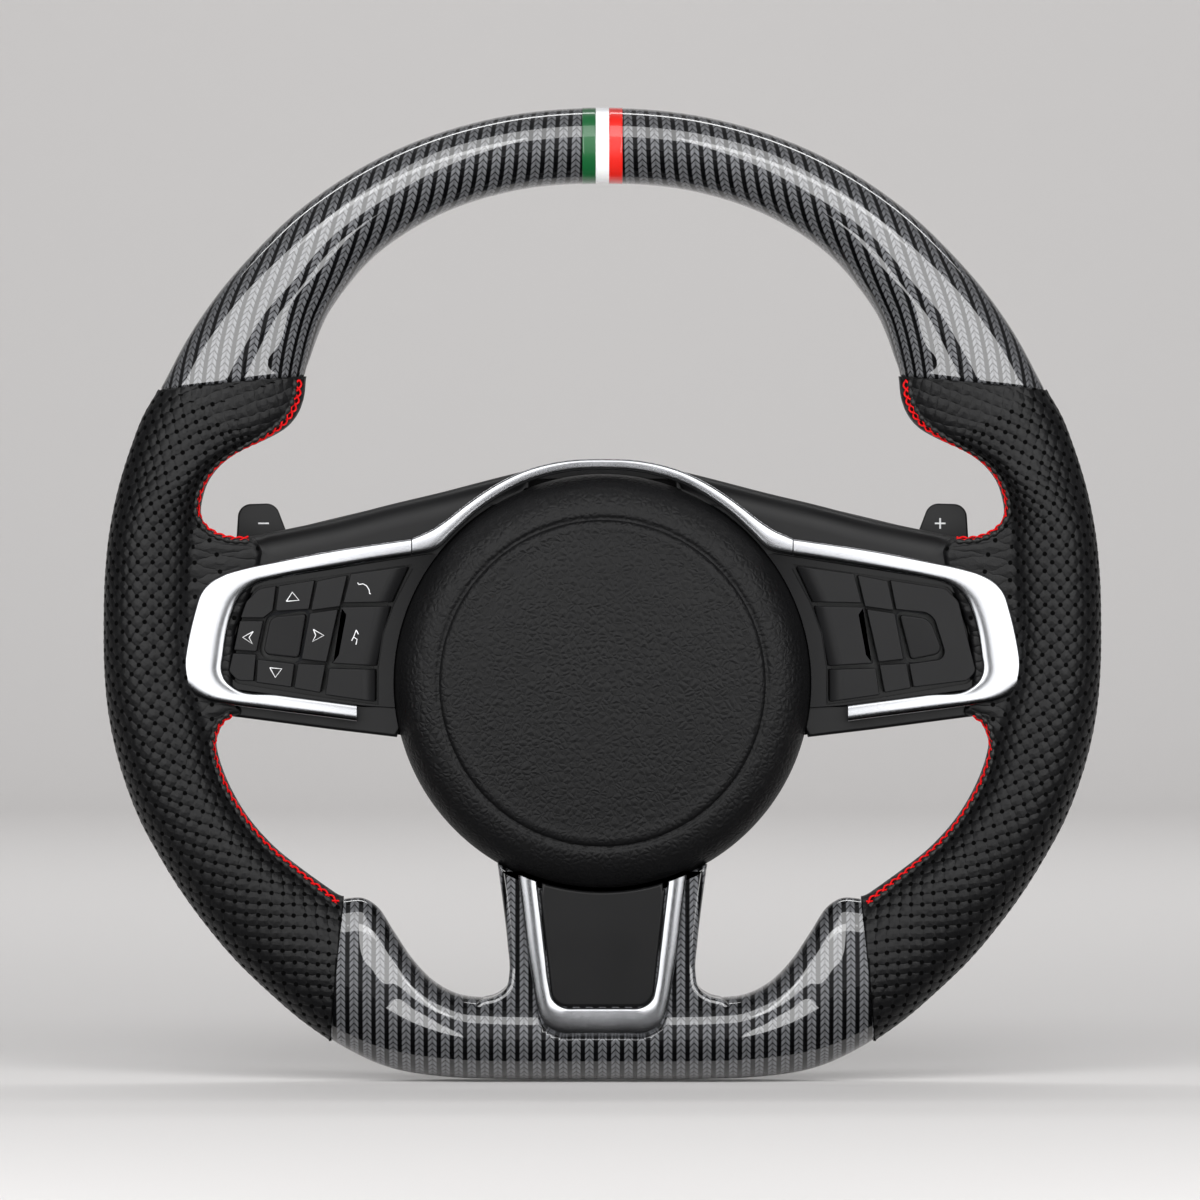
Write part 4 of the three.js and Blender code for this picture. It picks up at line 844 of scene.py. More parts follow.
# ------------------------------------------------------------------ the lower moulding
# One carbon moulding closes the flat bottom: two humps that meet the leather, a straight bar, and
# two legs that rise to the hub behind the pad. The cloth's columns hang straight down.
PAD_Z, PAD_CLEAR = -29, 77.3  # the pad's centre, and the opening left for it
BAR_Z, BAR_ROUND = -161, 15.5  # the bar's middle, and its section as a round one
JOINT_GAP = 0.35  # where the moulding meets the leather and the trim


def pad_arc(x0, x1):
    """Points on the lower side of the opening round the pad, from x0 to x1."""
    x = np.linspace(x0, x1, 24)
    return np.stack([x, PAD_Z - np.sqrt(PAD_CLEAR ** 2 - x ** 2)], axis=-1)

def low_lay(points, centres):
    """Columns straight down the front, round the bottom and up the back."""
    down, out = BAR_Z - points[:, 2], RIM_Y - points[:, 1]
    round_bottom = BAR_Z - BAR_ROUND * np.arctan2(np.maximum(down, 0), out)
    back = BAR_Z - BAR_ROUND * np.pi + down
    above = np.where(centres[:, 1] < RIM_Y, points[:, 2], back)
    return np.stack([points[:, 0], np.where(down > 0, round_bottom, above)], axis=-1)


def bored(piece, *cutters):
    """Cuts other solids out of the piece and removes them."""
    for solid in (piece, *cutters):
        if "custom_normal" in solid.data.attributes:
            solid.data.attributes.remove(solid.data.attributes["custom_normal"])
    for cutter in cutters:
        settled(piece, ("BOOLEAN", {"operation": "DIFFERENCE", "object": cutter, "solver": "EXACT"}))
        bpy.data.objects.remove(cutter)
    return piece


def cutter(outline, front, back, material):
    """A square-edged solid to bore with."""
    return slab("cutter", outline, front, back, material, edge=0.01)

def mirrored_path(points):
    """A path and its mirror image, end to end, as one outline."""
    points = np.asarray(points, float)
    return np.vstack([points, points[::-1] * (-1, 1)])


LEG_FRONT, LEG_BACK = -70, -48
LEG_EDGE = [(-38.9, -96.2), (-37, -110), (-35.3, -125), (-34.6, -137), (-35.6, -142), (-39.5, -145), (-46, -147),
            (-50, -152), (-46, -160)]
LOW_TRIM = flowing([(-31.2, -100), (-29.3, -115), (-27.5, -130), (-25.8, -140), (-24, -150), (-21.6, -156.6),
                    (-16, -159.8), (-8, -160)], 1.2)
LOW_TRIM_INNER = flowing([(-24.2, -102.8), (-22.4, -118), (-21, -130), (-19.6, -141), (-18, -146.6), (-14.5, -149),
                          (-8, -149.4)], 1.2)
low_half = between(LOW_JOINT, len(RIM_ROWS) - 1)
low_half = np.vstack([between(LOW_JOINT - 1, LOW_JOINT)[-5:-1], low_half])
low_rows = np.vstack([low_half, low_half[::-1][1:] * FLIP])
low_tube = skin_mesh("low_tube", rim_skin(low_rows, AROUND, CARBON_SINK), lacquered_carbon)
for side in (-1, 1):
    point, normal = joint_plane(RIM_ROWS[LOW_JOINT], side, 1)
    sliced(low_tube, (tuple(np.array(point) - np.array(normal) * JOINT_GAP), normal))
legs_outline = np.vstack([mirrored_path(flowing(LEG_EDGE)), pad_arc(37.6, -37.6)])
legs = slab("legs", legs_outline, LEG_FRONT, LEG_BACK, lacquered_carbon, edge=2.2, back_edge=2)
bored(low_tube, cutter(drawn_in(mirrored_path(LOW_TRIM), -JOINT_GAP), -90, -68.6, lacquered_carbon))
low_carbon = joined("lower_carbon_moulding", low_tube, legs)
low_carbon.data.set_sharp_from_angle(angle=math.radians(38))
cloth_map(low_carbon, low_lay)
show(low_carbon, "wheel", "carbon", "lower_rim_shell")


# ------------------------------------------------------------------ trims
# Satin chrome on moulded ABS: the brushed nickel under it spreads each reflection, and the crowned
# face falls away at both edges. A black insert closes the lower spoke.
chrome = worked("satin_chrome_plate", "a6a7aa", "b1b2b5", 0.3, 0.004, 0.21, Metallic=1.0)
TRIM_FRONT, TRIM_BACK, TRIM_RISE, CROWN_POWER = -71.5, -66, 1.3, 2.6
ARCH_OUTER = [(0, 54), (-10, 53.7), (-20, 52.2), (-30, 49.2), (-40, 44.3), (-50, 37.6), (-58, 31.4), (-63, 28),
              (-70.4, 24.6)]
ARCH_INNER = [(0, 50), (-10, 49.5), (-20, 47.8), (-30, 44.5), (-40, 39), (-47, 34), (-55, 26.6), (-62, 20.2),
              (-70.4, 18.3)]


def strip(name, outer, inner, front, back, material):
    """A moulding between two edges: its face is crowned, and falls away at each edge."""
    count = max(len(outer), len(inner))
    edges = []
    for path in (outer, inner):
        way = way_along(path)
        at = np.linspace(0, way[-1], count)
        edges.append(np.stack([np.interp(at, way, path[:, i]) for i in (0, 1)], axis=-1))
    across = 0.5 - 0.5 * np.cos(np.linspace(0, math.pi, 15))
    drop = TRIM_RISE * (1 - (1 - np.abs(2 * across - 1) ** CROWN_POWER) ** (1 / CROWN_POWER))
    profile = [(0, back), *zip(across, front + drop), (1, back)]
    lines = [np.insert(edges[0] * (1 - t) + edges[1] * t, 1, y, axis=1) for t, y in profile]
    piece = skin_mesh(name, np.stack(lines, axis=1), material)
    piece.data.set_sharp_from_angle(angle=math.radians(50))
    return piece

arch_halves = [flowing(edge) for edge in (ARCH_OUTER, ARCH_INNER)]
arch_edges = [np.vstack([half[::-1], half[1:] * (-1, 1)]) for half in arch_halves]
show(strip("top_arch", *arch_edges, TRIM_FRONT, TRIM_BACK, chrome), "wheel", "bright_trim", "top_arch_trim")

BEZEL_OUTER = [(-70.8, 24.3), (-80, 23), (-100, 20), (-120, 16.2), (-135, 13), (-140, 11.5), (-145, 8.8), (-149, 4),
               (-151, -2), (-153, -10), (-154.5, -18), (-155.3, -24), (-154.5, -29), (-151, -33), (-146, -35.5),
               (-140, -36.7), (-120, -39.5), (-100, -42), (-91, -43.2)]
BEZEL_INNER = [(-70.8, 18.2), (-80, 16.8), (-100, 13.4), (-120, 9.7), (-127, 8), (-132, 5), (-135, 1.5), (-137, -3),
               (-139, -10), (-140.5, -20), (-141, -24), (-139.5, -28), (-136, -31), (-120, -33.3), (-100, -36),
               (-91, -37.2)]
for side, hand in SIDES:
    edges = [turned_over(flowing(edge), side) for edge in (BEZEL_OUTER, BEZEL_INNER)]
    bezel = strip(f"{hand}_switch_trim", *edges, TRIM_FRONT, TRIM_BACK, chrome)
    show(bezel, "wheel", "bright_trim", f"{hand}_switch_bezel")

low_edges = [mirrored_path(edge) for edge in (LOW_TRIM, LOW_TRIM_INNER)]
show(strip("lower_spoke_trim", *low_edges, -72.5, -67, chrome), "wheel", "bright_trim", "lower_spoke_bezel")
satin_plastic = worked("satin_black_moulded_plastic", "0a0a0b", "0f0f10", 0.35, 0.012, 0.4, Specular_IOR_Level=0.25)
panel_outline = np.vstack([mirrored_path(rounded([(-23.7, -103.2, 0.5), (-18.4, -149, 6), (0, -149)])[:-1]),
                           pad_arc(22.5, -22.5)])
show(slab("lower_spoke_insert", panel_outline, -71.3, -67, satin_plastic, edge=1.2), "wheel", "soft_plastic",
     "lower_spoke_panel")


# ------------------------------------------------------------------ the spoke covers
# Moulded covers with a spark-eroded grain hide the cast spokes. Each rolls back along its upper
# edge and is open in the middle for the switches.
COVER_TOP = [(-131.6, 25.2), (-115, 28.6), (-100, 31.8), (-80, 37), (-60, 41.8), (-40, 47), (-27, 50.2)]
COVER_LOW = [(-76.4, -49.2), (-100, -46.4), (-138.2, -41.4), (-142, -36), (-146, -15), (-142, 5), (-135.5, 14.5)]
COVER_FRONT, COVER_BACK = -65.6, -57
COVER_ROLL = 9.5
COVER_WINDOW = [(-55, 18.6), (-123, 9.8, 12), (-137, 4.6, 11), (-143, -26.5, 5), (-137.6, -31.8, 4),
                (-89, -38, 0.5), (-55, -38)]

def pad_side(first, last, steps):
    """Points on the opening round the pad between two directions, in degrees from +X."""
    turn = np.radians(np.linspace(first, last, steps))
    return np.stack([PAD_CLEAR * np.cos(turn), PAD_Z + PAD_CLEAR * np.sin(turn)], axis=-1)

for side, hand in SIDES:
    top, low = flowing(COVER_TOP, 2), np.array(COVER_LOW, float)
    circle = pad_side(70, 195, 50)
    circle = circle[(circle[:, 0] < -27) & (circle[:, 1] > -48.5)]
    outline = np.vstack([top, circle, low])
    edge = np.concatenate([np.full(len(top), COVER_ROLL), np.full(len(circle), 0.4), np.full(len(low), 1.2)])
    edge[:4] = np.linspace(2, COVER_ROLL, 4)
    edge[len(top) - 4:len(top)] = np.linspace(COVER_ROLL, 1, 4)
    cover = slab(f"{hand}_spoke_cover_shell", turned_over(outline, side), COVER_FRONT, COVER_BACK, satin_plastic,
                 edge=edge, rise=np.where(edge > 2, COVER_BACK - COVER_FRONT - 1, edge), steps=10)
    bored(cover, cutter(turned_over(rounded(COVER_WINDOW), side), -80, -50, satin_plastic))
    cover.data.set_sharp_from_angle(angle=math.radians(60))
    even_normals(cover)
    show(cover, "wheel", "soft_plastic", f"{hand}_spoke_cover")


# ------------------------------------------------------------------ the horn pad
# A soft cover over the horn carrier: moulded thermoplastic with a leather grain. A shallow ring
# is let into its dome, and its skirt runs down past the trim.
def grained_skin(name):
    """Leather-grained soft plastic: wrinkled cells a millimetre or two across, dull on top."""
    material, tree, shader = new_material(name, Specular_IOR_Level=0.2)
    place = add(tree, "ShaderNodeTexCoord")
    bend = add(tree, "ShaderNodeTexNoise", Vector=place.outputs["Object"], Scale=160.0, Detail=3.0)
    mixed = add(tree, "ShaderNodeVectorMath", {"operation": "MULTIPLY_ADD"}, _0=bend.outputs["Color"],
                _1=(0.004, 0.004, 0.004), _2=place.outputs["Object"])
    cells = add(tree, "ShaderNodeTexVoronoi", {"feature": "DISTANCE_TO_EDGE"}, Vector=mixed.outputs[0], Scale=430.0)
    folds = add(tree, "ShaderNodeTexNoise", {"noise_type": "RIDGED_MULTIFRACTAL"}, Vector=mixed.outputs[0],
                Scale=120.0, Detail=3.0)
    broad = add(tree, "ShaderNodeTexNoise", Vector=place.outputs["Object"], Scale=22.0, Detail=3.0)
    tint = add(tree, "ShaderNodeMix", {"data_type": "RGBA"}, Factor=broad.outputs["Fac"],
               A=hex_colour("0c0c0d"), B=hex_colour("121213"))
    gloss = add(tree, "ShaderNodeMapRange", Value=broad.outputs["Fac"], To_Min=0.4, To_Max=0.58)
    height = add(tree, "ShaderNodeMath", {"operation": "MULTIPLY_ADD"}, _0=folds.outputs["Fac"], _1=0.3,
                 _2=cells.outputs["Distance"])
    bump = add(tree, "ShaderNodeBump", Strength=0.9, Distance=0.0005, Height=height.outputs[0])
    tree.links.new(tint.outputs["Result"], shader.inputs["Base Color"])
    tree.links.new(gloss.outputs[0], shader.inputs["Roughness"])
    tree.links.new(bump.outputs[0], shader.inputs["Normal"])
    return material


def lathe(name, profile, material, centre=(0, 0), steps=128, sharp=35):
    """A turned piece about an axis along Y. The profile is (radius, y), and closes on the axis or
    on itself."""
    profile = [tuple(p) for p in profile]
    on_axis = profile[0][0] == 0 and profile[-1][0] == 0
    turn = np.linspace(0, 2 * np.pi, steps, endpoint=False)
    verts, starts = [], []
    for r, y in profile:
        starts.append(len(verts))
        if r == 0:
            verts.append((centre[0], y, centre[1]))
        else:
            verts += [(centre[0] + r * math.cos(a), y, centre[1] + r * math.sin(a)) for a in turn]
    faces = []
    for i in range(len(profile) - (1 if on_axis else 0)):
        j = (i + 1) % len(profile)
        for k in range(steps):
            n = (k + 1) % steps
            if profile[i][0] == 0:
                faces.append((starts[i], starts[j] + k, starts[j] + n))
            elif profile[j][0] == 0:
                faces.append((starts[i] + k, starts[j], starts[i] + n))
            else:
                faces.append((starts[i] + k, starts[i] + n, starts[j] + n, starts[j] + k))
    piece = mesh_object(name, verts, faces, material)
    outward(piece)
    piece.data.set_sharp_from_angle(angle=math.radians(sharp))
    return piece


PAD_FACE = flowing([(0.01, -82), (15, -81.95), (30, -81.8), (44, -81.4), (52, -81), (55.5, -80.9), (58, -80.9),
                    (59.6, -80.3), (60.4, -79.4), (61.2, -79.4), (62, -79.9), (63.5, -79.9), (66, -79.3), (69, -78),
                    (72, -75.7), (74.6, -72.4), (76.4, -68.5), (77.3, -64.5), (77.5, -61.2)], 0.6)
pad_profile = [(0, -82), *PAD_FACE[1:], (77.2, -60.4), (74.5, -60.4), (74.5, -68), (68, -73.5), (60, -75), (0, -77)]
horn_pad = lathe("horn_pad_skin", pad_profile, grained_skin("leather_grained_soft_plastic"), (0, PAD_Z), 160)
show(horn_pad, "pad", "pad_skin", "centre_pad")


# ------------------------------------------------------------------ the switch packs
# Gloss black housings sit in the spoke covers. Each holds a rocking direction pad with a select
# button in its middle, and three keys beside it. The left pack's marks are printed in white.
gloss_black = worked("gloss_black_moulded_plastic", "0a0a0b", "0e0e0f", 0.5, 0.002, 0.13, Specular_IOR_Level=0.14)
key_finish = worked("matt_key_lacquer", "121213", "171718", 0.22, 0.008, 0.46, Specular_IOR_Level=0.22)
select_finish = worked("matt_select_lacquer", "0e0e0f", "131314", 0.22, 0.008, 0.5, Specular_IOR_Level=0.22)
white_print = worked("white_key_print", "dfe0e2", "efeff0", 0.3, 0.004, 0.5)
KEY_FRONT, KEY_BACK, WEB_FRONT, WEB_BACK, KEY_EDGE = -69.5, -62.5, -65.6, -64.5, 0.45
SELECT = [(-123, -4.5, 3.4), (-109.7, -3.3, 1), (-112.5, -20, 1.6), (-125.9, -18.5, 2.4)]
SELECT_RIGHT = [(-110, -3.6, 1), (-121.4, -5.0, 6), (-126.4, -18.1, 3), (-114.3, -20.6, 1.5)]
COMMON_CELLS = [
    [(-105.7, 8.8, .5), (-94.5, 11, .5), (-97.3, -.8, .5), (-108.1, -2.3, .5)],
    [(-108.4, -3.2, .5), (-97.9, -1.7, .5), (-102.3, -21.4, .5), (-111.6, -20.3, .5)],
    [(-112.8, -21.8, .5), (-102.6, -22.3, .5), (-104.6, -32.7, .5), (-114.3, -31, .5)],
]
CELLS = [
    [(-119.9, 7, .5), (-106.6, 9.1, .5), (-108.8, -1.8, .5), (-121.2, -2.6, .8)],
    [(-120.9, 7, .5), (-127.2, 5.9, 4), (-131.9, 1.2, 3), (-134.1, -5, .5), (-125.6, -5, .8), (-122.2, -2.4, .6)],
    [(-134.3, -6, .5), (-125.6, -6, .5), (-128.2, -17.5, .5), (-136.6, -16.9, .5)],
    [(-136.9, -18, .5), (-128.3, -18.4, .5), (-129.3, -28.4, .5), (-135.2, -28.2, 3), (-138.4, -24.8, 2)],
    [(-127.8, -20.2, .5), (-114.1, -21.9, .5), (-115.3, -30.7, .5), (-128.3, -28.9, .5)],
]
LARGE_CELL = [(-106.6, 9.1, .5), (-127.2, 5.9, 4), (-131.9, 1.2, 3), (-138.4, -24.8, 3), (-135.2, -28.2, 3),
              (-115.3, -30.7, .5), (-113.6, -21.9, .5), (-127.6, -20, 3), (-122.4, -3.2, 6), (-108.8, -1.9, .5)]
WEB = [(-95, 10.2), (-126.8, 5.2, 4), (-131.4, .8, 3), (-137.8, -24.6, 2), (-134.8, -27.6, 3), (-105, -32)]
FIELD = [(-70.6, 15), (-127.8, 6.9, 4), (-133, 1.8, 3), (-139.6, -25.2, 3), (-135.6, -29.3, 3), (-103, -34.6, .5),
         (-83.6, -37.2, .3), (-83.6, -23.7, .3), (-81.6, -10.7), (-77.6, .4)]
UPPER_KEY = [(-93.3, 11.4, .5), (-71.8, 14.3, .6), (-78, .9, .6), (-96.1, .5, .5)]
MIDDLE_KEY = [(-96.9, -.9, .4), (-97.4, -3, .3), (-95.3, -3.7, .3), (-98.1, -18.6, .3), (-99.8, -19.1, .3),
              (-100.2, -21.8, .4), (-83.8, -22.8, .6), (-78.6, -.5, .6)]
LOWER_KEY = [(-101.3, -23.5, .5), (-84.1, -24, .5), (-84.2, -36.1, .6), (-102.7, -33.5, .5)]
MARKS = {
    "direction_pad": [[(-117.1, 1.2), (-114.9, 4.6), (-112.4, 1.6), (-117.1, 1.2)],
                      [(-123.2, -23.4), (-118.8, -23.8), (-121.2, -27), (-123.2, -23.4)],
                      [(-129.4, -10), (-133.3, -12.1), (-129.7, -14.5), (-130.9, -12.2), (-129.4, -10)],
                      [(-107.1, -9.2), (-103.2, -11.4), (-107.4, -13.7), (-106.2, -11.4), (-107.1, -9.2)]],
    "upper_key": [[(-90.7, 8.1), (-90.2, 7.4), (-88.7, 7.7), (-87.3, 6.9), (-86.4, 5.4), (-86.3, 4.1), (-85.8, 4)]],
    "middle_key": [[(-91.2, -9.4), (-92.2, -12), (-90.9, -12.9), (-91.3, -14.8)], [(-92.2, -12), (-92.9, -13.4)],
                   [(-91.2, -9.4), (-90.4, -11)]],
}


def rolled_end(piece, a, b, reach, drop):
    """Lets the piece's face fall away towards the edge from a to b."""
    way = np.array(b, float) - a
    normal = np.array([-way[1], way[0]]) / np.linalg.norm(way)
    work = bmesh.new()
    work.from_mesh(piece.data)
    for k in range(1, 7):
        point = np.array(a) + normal * reach * k / 6
        bmesh.ops.bisect_plane(work, geom=[*work.verts, *work.edges, *work.faces],
                               plane_co=(point[0] * .001, 0, point[1] * .001), plane_no=(normal[0], 0, normal[1]))
    for v in work.verts:
        gap = (v.co.x * 1000 - a[0]) * normal[0] + (v.co.z * 1000 - a[1]) * normal[1]
        if v.co.y < -0.0655 and gap < reach:
            v.co.y += drop * 0.001 * (1 - max(gap, 0) / reach) ** 2
    work.to_mesh(piece.data)
    work.free()
    return even_normals(piece)


def drawn_wire(name, paths, thickness, material, roundness=2, capped=False):
    """Round wire or raised print along paths of points, all in millimetres."""
    curve = bpy.data.curves.new(name, "CURVE")
    curve.dimensions, curve.bevel_depth, curve.bevel_resolution = "3D", thickness * 0.0005, roundness
    curve.use_fill_caps = capped
    for points in paths:
        line = curve.splines.new("POLY")
        line.points.add(len(points) - 1)
        for p, place in zip(line.points, points):
            p.co = (*(c * 0.001 for c in place), 1)
    drawn = placed(name, curve)
    mesh = bpy.data.meshes.new_from_object(drawn.evaluated_get(bpy.context.evaluated_depsgraph_get()))
    bpy.data.objects.remove(drawn)
    mesh.materials.clear()
    mesh.materials.append(material)
    return placed(name, mesh)

def printed(name, strokes, y, width, material):
    """Marks as fine raised strokes."""
    return drawn_wire(name, [[(x, y, z) for x, z in points] for points in strokes], width, material)

PACK_EDGE = [(-89, -37.6), (-136.9, -31.5, 4), (-142.4, -26.5, 5), (-136.3, 4.9, 11), (-123, 9.7, 12), (-64, 19)]
PACK_LIP = [(-70.5, 13.4), (-77.4, .4), (-81.4, -10.7), (-83.3, -23.7), (-83.3, -37.1)]
KEYS = {"upper": (UPPER_KEY, (-71.8, 14.3), (-78, .9)), "middle": (MIDDLE_KEY, (-78.6, -.5), (-83.8, -22.8)),
        "lower": (LOWER_KEY, (-84.1, -24), (-84.2, -36.1))}  # each key's outline and its inner edge
for side, hand in SIDES:
    def on(corners):
        return turned_over(rounded(corners), side)

    outline = np.vstack([rounded(PACK_EDGE), pad_side(142, 187, 30)])
    housing = slab(f"{hand}_switch_frame", turned_over(outline, side), -66.5, -57.4, gloss_black, edge=0.3)
    bored(housing, cutter(on(FIELD), -80, -59.3, gloss_black))
    housing.data.set_sharp_from_angle(angle=math.radians(60))
    even_normals(housing)
    show(housing, "wheel", "gloss_plastic", f"{hand}_switch_housing")
    lip = printed(f"{hand}_switch_frame_lip", [turned_over(PACK_LIP, side)], -66.9, 0.45, gloss_black)
    show(lip, "wheel", "gloss_plastic")

    select = SELECT if side < 0 else SELECT_RIGHT
    cells = COMMON_CELLS + (CELLS if side < 0 else [LARGE_CELL])
    raised = [slab("cell", on(cell), KEY_FRONT, WEB_FRONT + 0.1, key_finish, edge=KEY_EDGE, steps=3)
              for cell in cells]
    web = slab("web", on(WEB), WEB_FRONT, WEB_BACK, key_finish, edge=0.05, steps=1)
    bored(web, cutter(drawn_in(on(select), -1.7), -80, -60, key_finish))
    show(even_normals(joined(f"{hand}_direction_cells", web, *raised)), f"{hand}_direction_pad", "key_plastic",
         f"{hand}_direction_pad")
    button = slab(f"{hand}_select_cap", drawn_in(on(select), 0.1), KEY_FRONT - 0.4, KEY_BACK, select_finish,
                  edge=0.8, rise=0.5)
    show(button, f"{hand}_select", "key_plastic", f"{hand}_select_button")
    for row, (corners, a, b) in KEYS.items():
        key = slab(f"{hand}_{row}_key_cap", on(corners), KEY_FRONT, KEY_BACK, key_finish, edge=KEY_EDGE, steps=3)
        a, b = turned_over([a, b], side)
        rolled_end(key, *((b, a) if side < 0 else (a, b)), 5.5, 3)
        show(key, f"{hand}_{row}_key", "key_plastic", f"{hand}_key_{row}")
for body, strokes in MARKS.items():
    show(printed(f"left_{body}_marks", strokes, KEY_FRONT, 0.4, white_print), f"left_{body}", "key_plastic")


# ------------------------------------------------------------------ the shift paddles
# Glass-filled nylon paddles swing on steel pins behind the spokes. Only their tabs show from the
# front, with a printed minus and plus.
PADDLE = [(-96, 10), (-108, 12, 4), (-118, 26, 3), (-122.6, 38, 5), (-136.4, 37.6, 5), (-138, 12), (-137.5, -28, 7),
          (-112, -28, 7), (-106, -11, 4), (-96, -10)]
PIN_X, PIN_Y = 96, -36.5
KNUCKLE = [(1.9, -11.3), (3.2, -11.3), (3.7, -10.8), (3.7, 10.8), (3.2, 11.3), (1.9, 11.3)]
SIGNS = {"left": [[(-129, 30.4), (-125, 30.4)]],
         "right": [[(124.6, 30.4), (128.6, 30.4)], [(126.6, 28.4), (126.6, 32.4)]]}

def on_pin(piece, side):
    """Turns a turned piece upright, on the axis of a paddle."""
    place = Matrix.Translation((side * PIN_X * 0.001, PIN_Y * 0.001, 0))
    piece.data.transform(place @ Matrix.Rotation(math.pi / 2, 4, "X"))
    return piece

for side, hand in SIDES:
    blade = slab("blade", turned_over(rounded(PADDLE), side), -39, -36, satin_plastic, edge=0.8, back_edge=0.6)
    knuckle = on_pin(lathe("knuckle", KNUCKLE, satin_plastic, steps=40), side)
    paddle = joined(f"{hand}_shift_paddle", blade, knuckle)
    paddle.data.set_sharp_from_angle(angle=math.radians(50))
    outward(paddle)
    show(paddle, f"{hand}_paddle", "soft_plastic", f"{hand}_paddle")
    mark = printed(f"{hand}_paddle_mark", SIGNS[hand], -39, 0.7, white_print)
    show(mark, f"{hand}_paddle", "key_plastic")


# ------------------------------------------------------------------ the back
# A moulded cover closes the back of the spokes, and a cone leads the hand to the release collar.
def softened(name, node, material, width):
    """A CAD solid with its edges rounded off."""
    work = bmesh.new()
    work.from_mesh(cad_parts[node].data)
    bmesh.ops.remove_doubles(work, verts=work.verts, dist=1e-6)
    bmesh.ops.dissolve_limit(work, angle_limit=math.radians(1), verts=work.verts, edges=work.edges)
    mesh = bpy.data.meshes.new(name)
    work.to_mesh(mesh)
    work.free()
    mesh.materials.append(material)
    mesh.polygons.foreach_set("use_smooth", [True] * len(mesh.polygons))
    return settled(placed(name, mesh), ("BEVEL", {"width": width * 0.001, "segments": 3, "limit_method": "ANGLE",
                                     "angle_limit": math.radians(35), "use_clamp_overlap": True}),
                   ("WEIGHTED_NORMAL", {"keep_sharp": True}))


back_shell = softened("back_cover_shell", "rear_cover", satin_plastic, 0.9)
show(back_shell, "wheel", "soft_plastic", "rear_cover")
cone = lathe("release_cone", [(46.6, -43.7), (51.4, -43.7), (52, -43.2), (52, -42.4), (51.6, -41.9), (38.9, -28.8),
                              (37.6, -28), (33.6, -28), (33, -28.5), (33, -30), (35, -30)],
             satin_plastic, steps=120, sharp=30)
show(cone, "wheel", "soft_plastic", "coupling_shroud")

black_anodised = worked("black_anodised_aluminium", "101113", "17181b", 0.12, 0.006, 0.33, Metallic=0.85)
grey_anodised = worked("grey_anodised_aluminium", "3c3f44", "4a4d52", 0.12, 0.006, 0.3, Metallic=0.9)
steel = worked("bright_spring_steel", "a2a4a8", "b6b8bb", 0.15, 0.004, 0.22, Metallic=1.0)
cast_alloy = worked("die_cast_magnesium", "8c8e90", "a0a2a4", 0.6, 0.05, 0.45, Metallic=0.9)
foam_finish = worked("polyurethane_foam", "2a2a2b", "383839", 0.8, 0.15, 0.9)
board_finish = worked("glass_epoxy_board", "0a0d0b", "0f1210", 0.5, 0.01, 0.4)
bearing = worked("polished_bearing_steel", "b4b5b8", "c4c5c8", 0.3, 0.001, 0.08, Metallic=1.0)

hub = lathe("splined_hub", [(0, -49.7), (41.3, -49.7), (42, -49.1), (42, -44.3), (41.4, -43.7), (19.6, -43.7),
                            (19, -43.1),
                            (19, -5.2), (17.8, -5.2), (17.8, -3.6), (19, -3.6), (19, -1), (18.2, 0), (13.4, 0),
                            (12.5, -0.9),
                            (12.5, -24), (0, -24)], black_anodised, steps=120, sharp=30)
BALL_Y, BALL_PLACE, BALL_RADIUS = -16.4, 15.05, 4
spline = []
for i in range(10):
    for share, radius in ((-0.25, 12.3), (0, 12.3), (0.25, 12.3), (0.27, 10.5), (0.5, 10.5), (0.73, 10.5)):
        a = (i + share) * 2 * math.pi / 10
        spline.append((radius * math.cos(a), radius * math.sin(a)))
bored(hub, cutter(spline, -34, -23, black_anodised))
for i in range(4):
    a = (i + 0.5) * math.pi / 2
    socket = lathe("socket", [(0, 11.8), (4.2, 11.8), (4.2, 21), (0, 21)], black_anodised, steps=32)
    socket.data.transform(Matrix.Translation((0, BALL_Y * 0.001, 0)) @ Matrix.Rotation(-a, 4, "Y")
                          @ Matrix.Rotation(-math.pi / 2, 4, "Z"))
    bored(hub, socket)
hub.data.set_sharp_from_angle(angle=math.radians(30))
show(hub, "wheel", "anodised", "coupling_hub")

collar = lathe("release_collar", [(19.4, -28.4), (25.5, -28.4), (26, -27.9), (26, -14.6), (29.2, -13), (29.6, -12.4),
                                  (29.6, -6.6),
                                  (29, -5.8), (28.2, -5.4), (21.6, -5.4), (21, -6), (21, -9.4), (19.4, -16.4)],
               grey_anodised, steps=120, sharp=30)


def ribs(tree, given):
    """Fine ribs along the axis, in a ring."""
    ring = add(tree, "GeometryNodeMeshCircle", Vertices=given["Count"], Radius=given["Ring"])
    rib = add(tree, "GeometryNodeMeshCylinder", Vertices=6, Radius=given["Thickness"], Depth=given["Length"])
    at = add(tree, "GeometryNodeInputPosition")
    turned = add(tree, "FunctionNodeAlignRotationToVector", {"axis": "X"}, Vector=at.outputs[0])
    placed = add(tree, "GeometryNodeInstanceOnPoints", Points=ring.outputs[0], Instance=rib.outputs[0],
                 Rotation=turned.outputs[0])
    stood = add(tree, "GeometryNodeTransform", Geometry=placed.outputs[0], Translation=given["Place"],
                Rotation=(math.pi / 2, 0, 0))
    return stood.outputs[0]


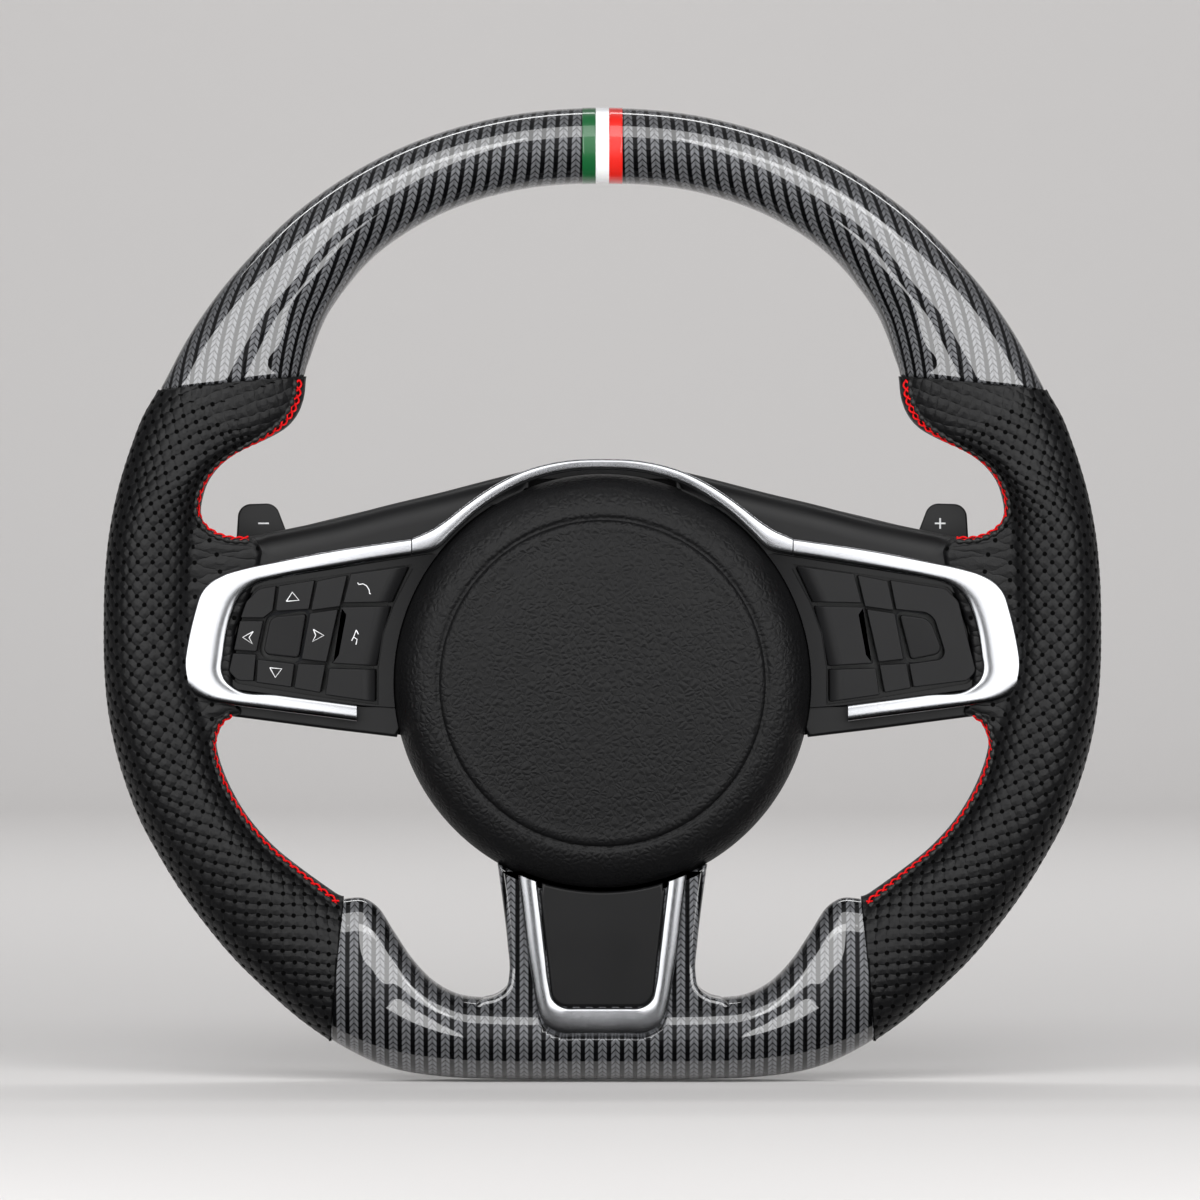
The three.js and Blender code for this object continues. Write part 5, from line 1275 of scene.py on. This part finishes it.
knurl = by_rule("knurl", {"Count": ("Int", 84), "Ring": ("Float", 0.0294), "Thickness": ("Float", 0.00055),
                          "Length": ("Float", 0.0054), "Place": ("Vector", (0, -0.0095, 0)),
                          "Material": ("Material", grey_anodised)}, ribs)
front_knurl = by_rule("knurl", {"Count": ("Int", 72), "Ring": ("Float", 0.0259), "Thickness": ("Float", 0.0005),
                                "Length": ("Float", 0.009), "Place": ("Vector", (0, -0.0215, 0)),
                                "Material": ("Material", grey_anodised)}, ribs)
for part in (knurl, front_knurl):
    part.data.polygons.foreach_set("use_smooth", [False] * len(part.data.polygons))
whole_collar = joined("knurled_release_collar", collar, knurl, front_knurl)
whole_collar.data.set_sharp_from_angle(angle=math.radians(30))
show(whole_collar, "collar", "anodised", "locking_collar")


HORN_WIRE, HORN_TRAVEL = 0.5, 2.6

def coiled(name, radius, wire, front, back, turns, centre, material):
    """A compression spring of wire with that radius, with closed ends."""
    share = np.linspace(0, 1, int(turns * 40) + 1)
    eased = np.clip((share - 0.8 / turns / 2) / (1 - 0.8 / turns), 0, 1)
    a = 2 * math.pi * turns * share
    path = np.stack([centre[0] + radius * np.cos(a), front + (back - front) * eased,
                     centre[1] + radius * np.sin(a)], axis=-1)
    return drawn_wire(name, [path.tolist()], wire * 2, material, 3, True)

release_spring = coiled("release_spring", 22.5, 0.9, -42.3, -29.5, 4.5, (0, 0), steel)
show(release_spring, "wheel", "spring_steel", "collar_spring")
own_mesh(release_spring)
for i in (1, 2, 3):
    low, high = (np.array(corner) * 1000 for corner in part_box(f"horn_spring_{i}"))
    middle = (low + high) / 2
    horn_spring = coiled(f"horn_return_spring_{i}", (high[0] - low[0]) / 2 - HORN_WIRE, HORN_WIRE,
                         low[1] + HORN_WIRE, high[1] - HORN_WIRE, 5, (middle[0], middle[2]), steel)
    show(horn_spring, "wheel", "spring_steel", f"horn_spring_{i}")
    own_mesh(horn_spring)
RING = [(18, -5), (21.6, -5), (21.8, -4.8), (21.8, -4), (21.6, -3.8), (18, -3.8)]
ring = lathe("retaining_ring", RING, steel, steps=120, sharp=30)
bored(ring, cutter([(-3, -30), (3, -30), (3, -10), (-3, -10)], -10, 0, steel))
show(ring, "wheel", "spring_steel", "snap_ring")
for i in range(4):
    a = (i + 0.5) * math.pi / 2
    arc = [(BALL_RADIUS * math.sin(t), -BALL_RADIUS * math.cos(t)) for t in np.linspace(0, np.pi, 25)[1:-1]]
    ball = lathe(f"bearing_ball_{i + 1}", [(0, -BALL_RADIUS), *arc, (0, BALL_RADIUS)], bearing, steps=48, sharp=60)
    place = Vector((BALL_PLACE * math.cos(a), BALL_Y, BALL_PLACE * math.sin(a)))
    ball.data.transform(Matrix.Translation(place * 0.001))
    show(ball, f"ball_{i + 1}", "spring_steel", f"locking_ball_{i + 1}")


def dress(material, *nodes):
    """A finish for a CAD solid that stays."""
    for node in nodes:
        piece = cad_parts[node]
        for slot in piece.material_slots:
            slot.material = material


dress(cast_alloy, "rim_armature", "horn_carrier")
dress(black_anodised, "left_pad_gimbal", "right_pad_gimbal")
dress(foam_finish, "rim_foam")
dress(board_finish, "left_switch_board", "right_switch_board")
dress(steel, *[f"hub_screw_{i}" for i in range(1, 7)])
PIN = [(0, -16), (1.2, -16), (1.5, -15.7), (1.5, 15.7), (1.2, 16), (0, 16)]
for side, hand in SIDES:
    fork = softened(f"{hand}_paddle_fork", f"{hand}_paddle_bracket", cast_alloy, 0.5)
    show(fork, "wheel", "cast_metal", f"{hand}_paddle_bracket")
    pin = on_pin(lathe(f"{hand}_paddle_axle", PIN, steel, steps=32), side)
    show(pin, "wheel", "spring_steel", f"{hand}_paddle_pin")
show(softened("wiring_socket_body", "wiring_socket", black_anodised, 0.5), "wheel", "anodised", "wiring_socket")
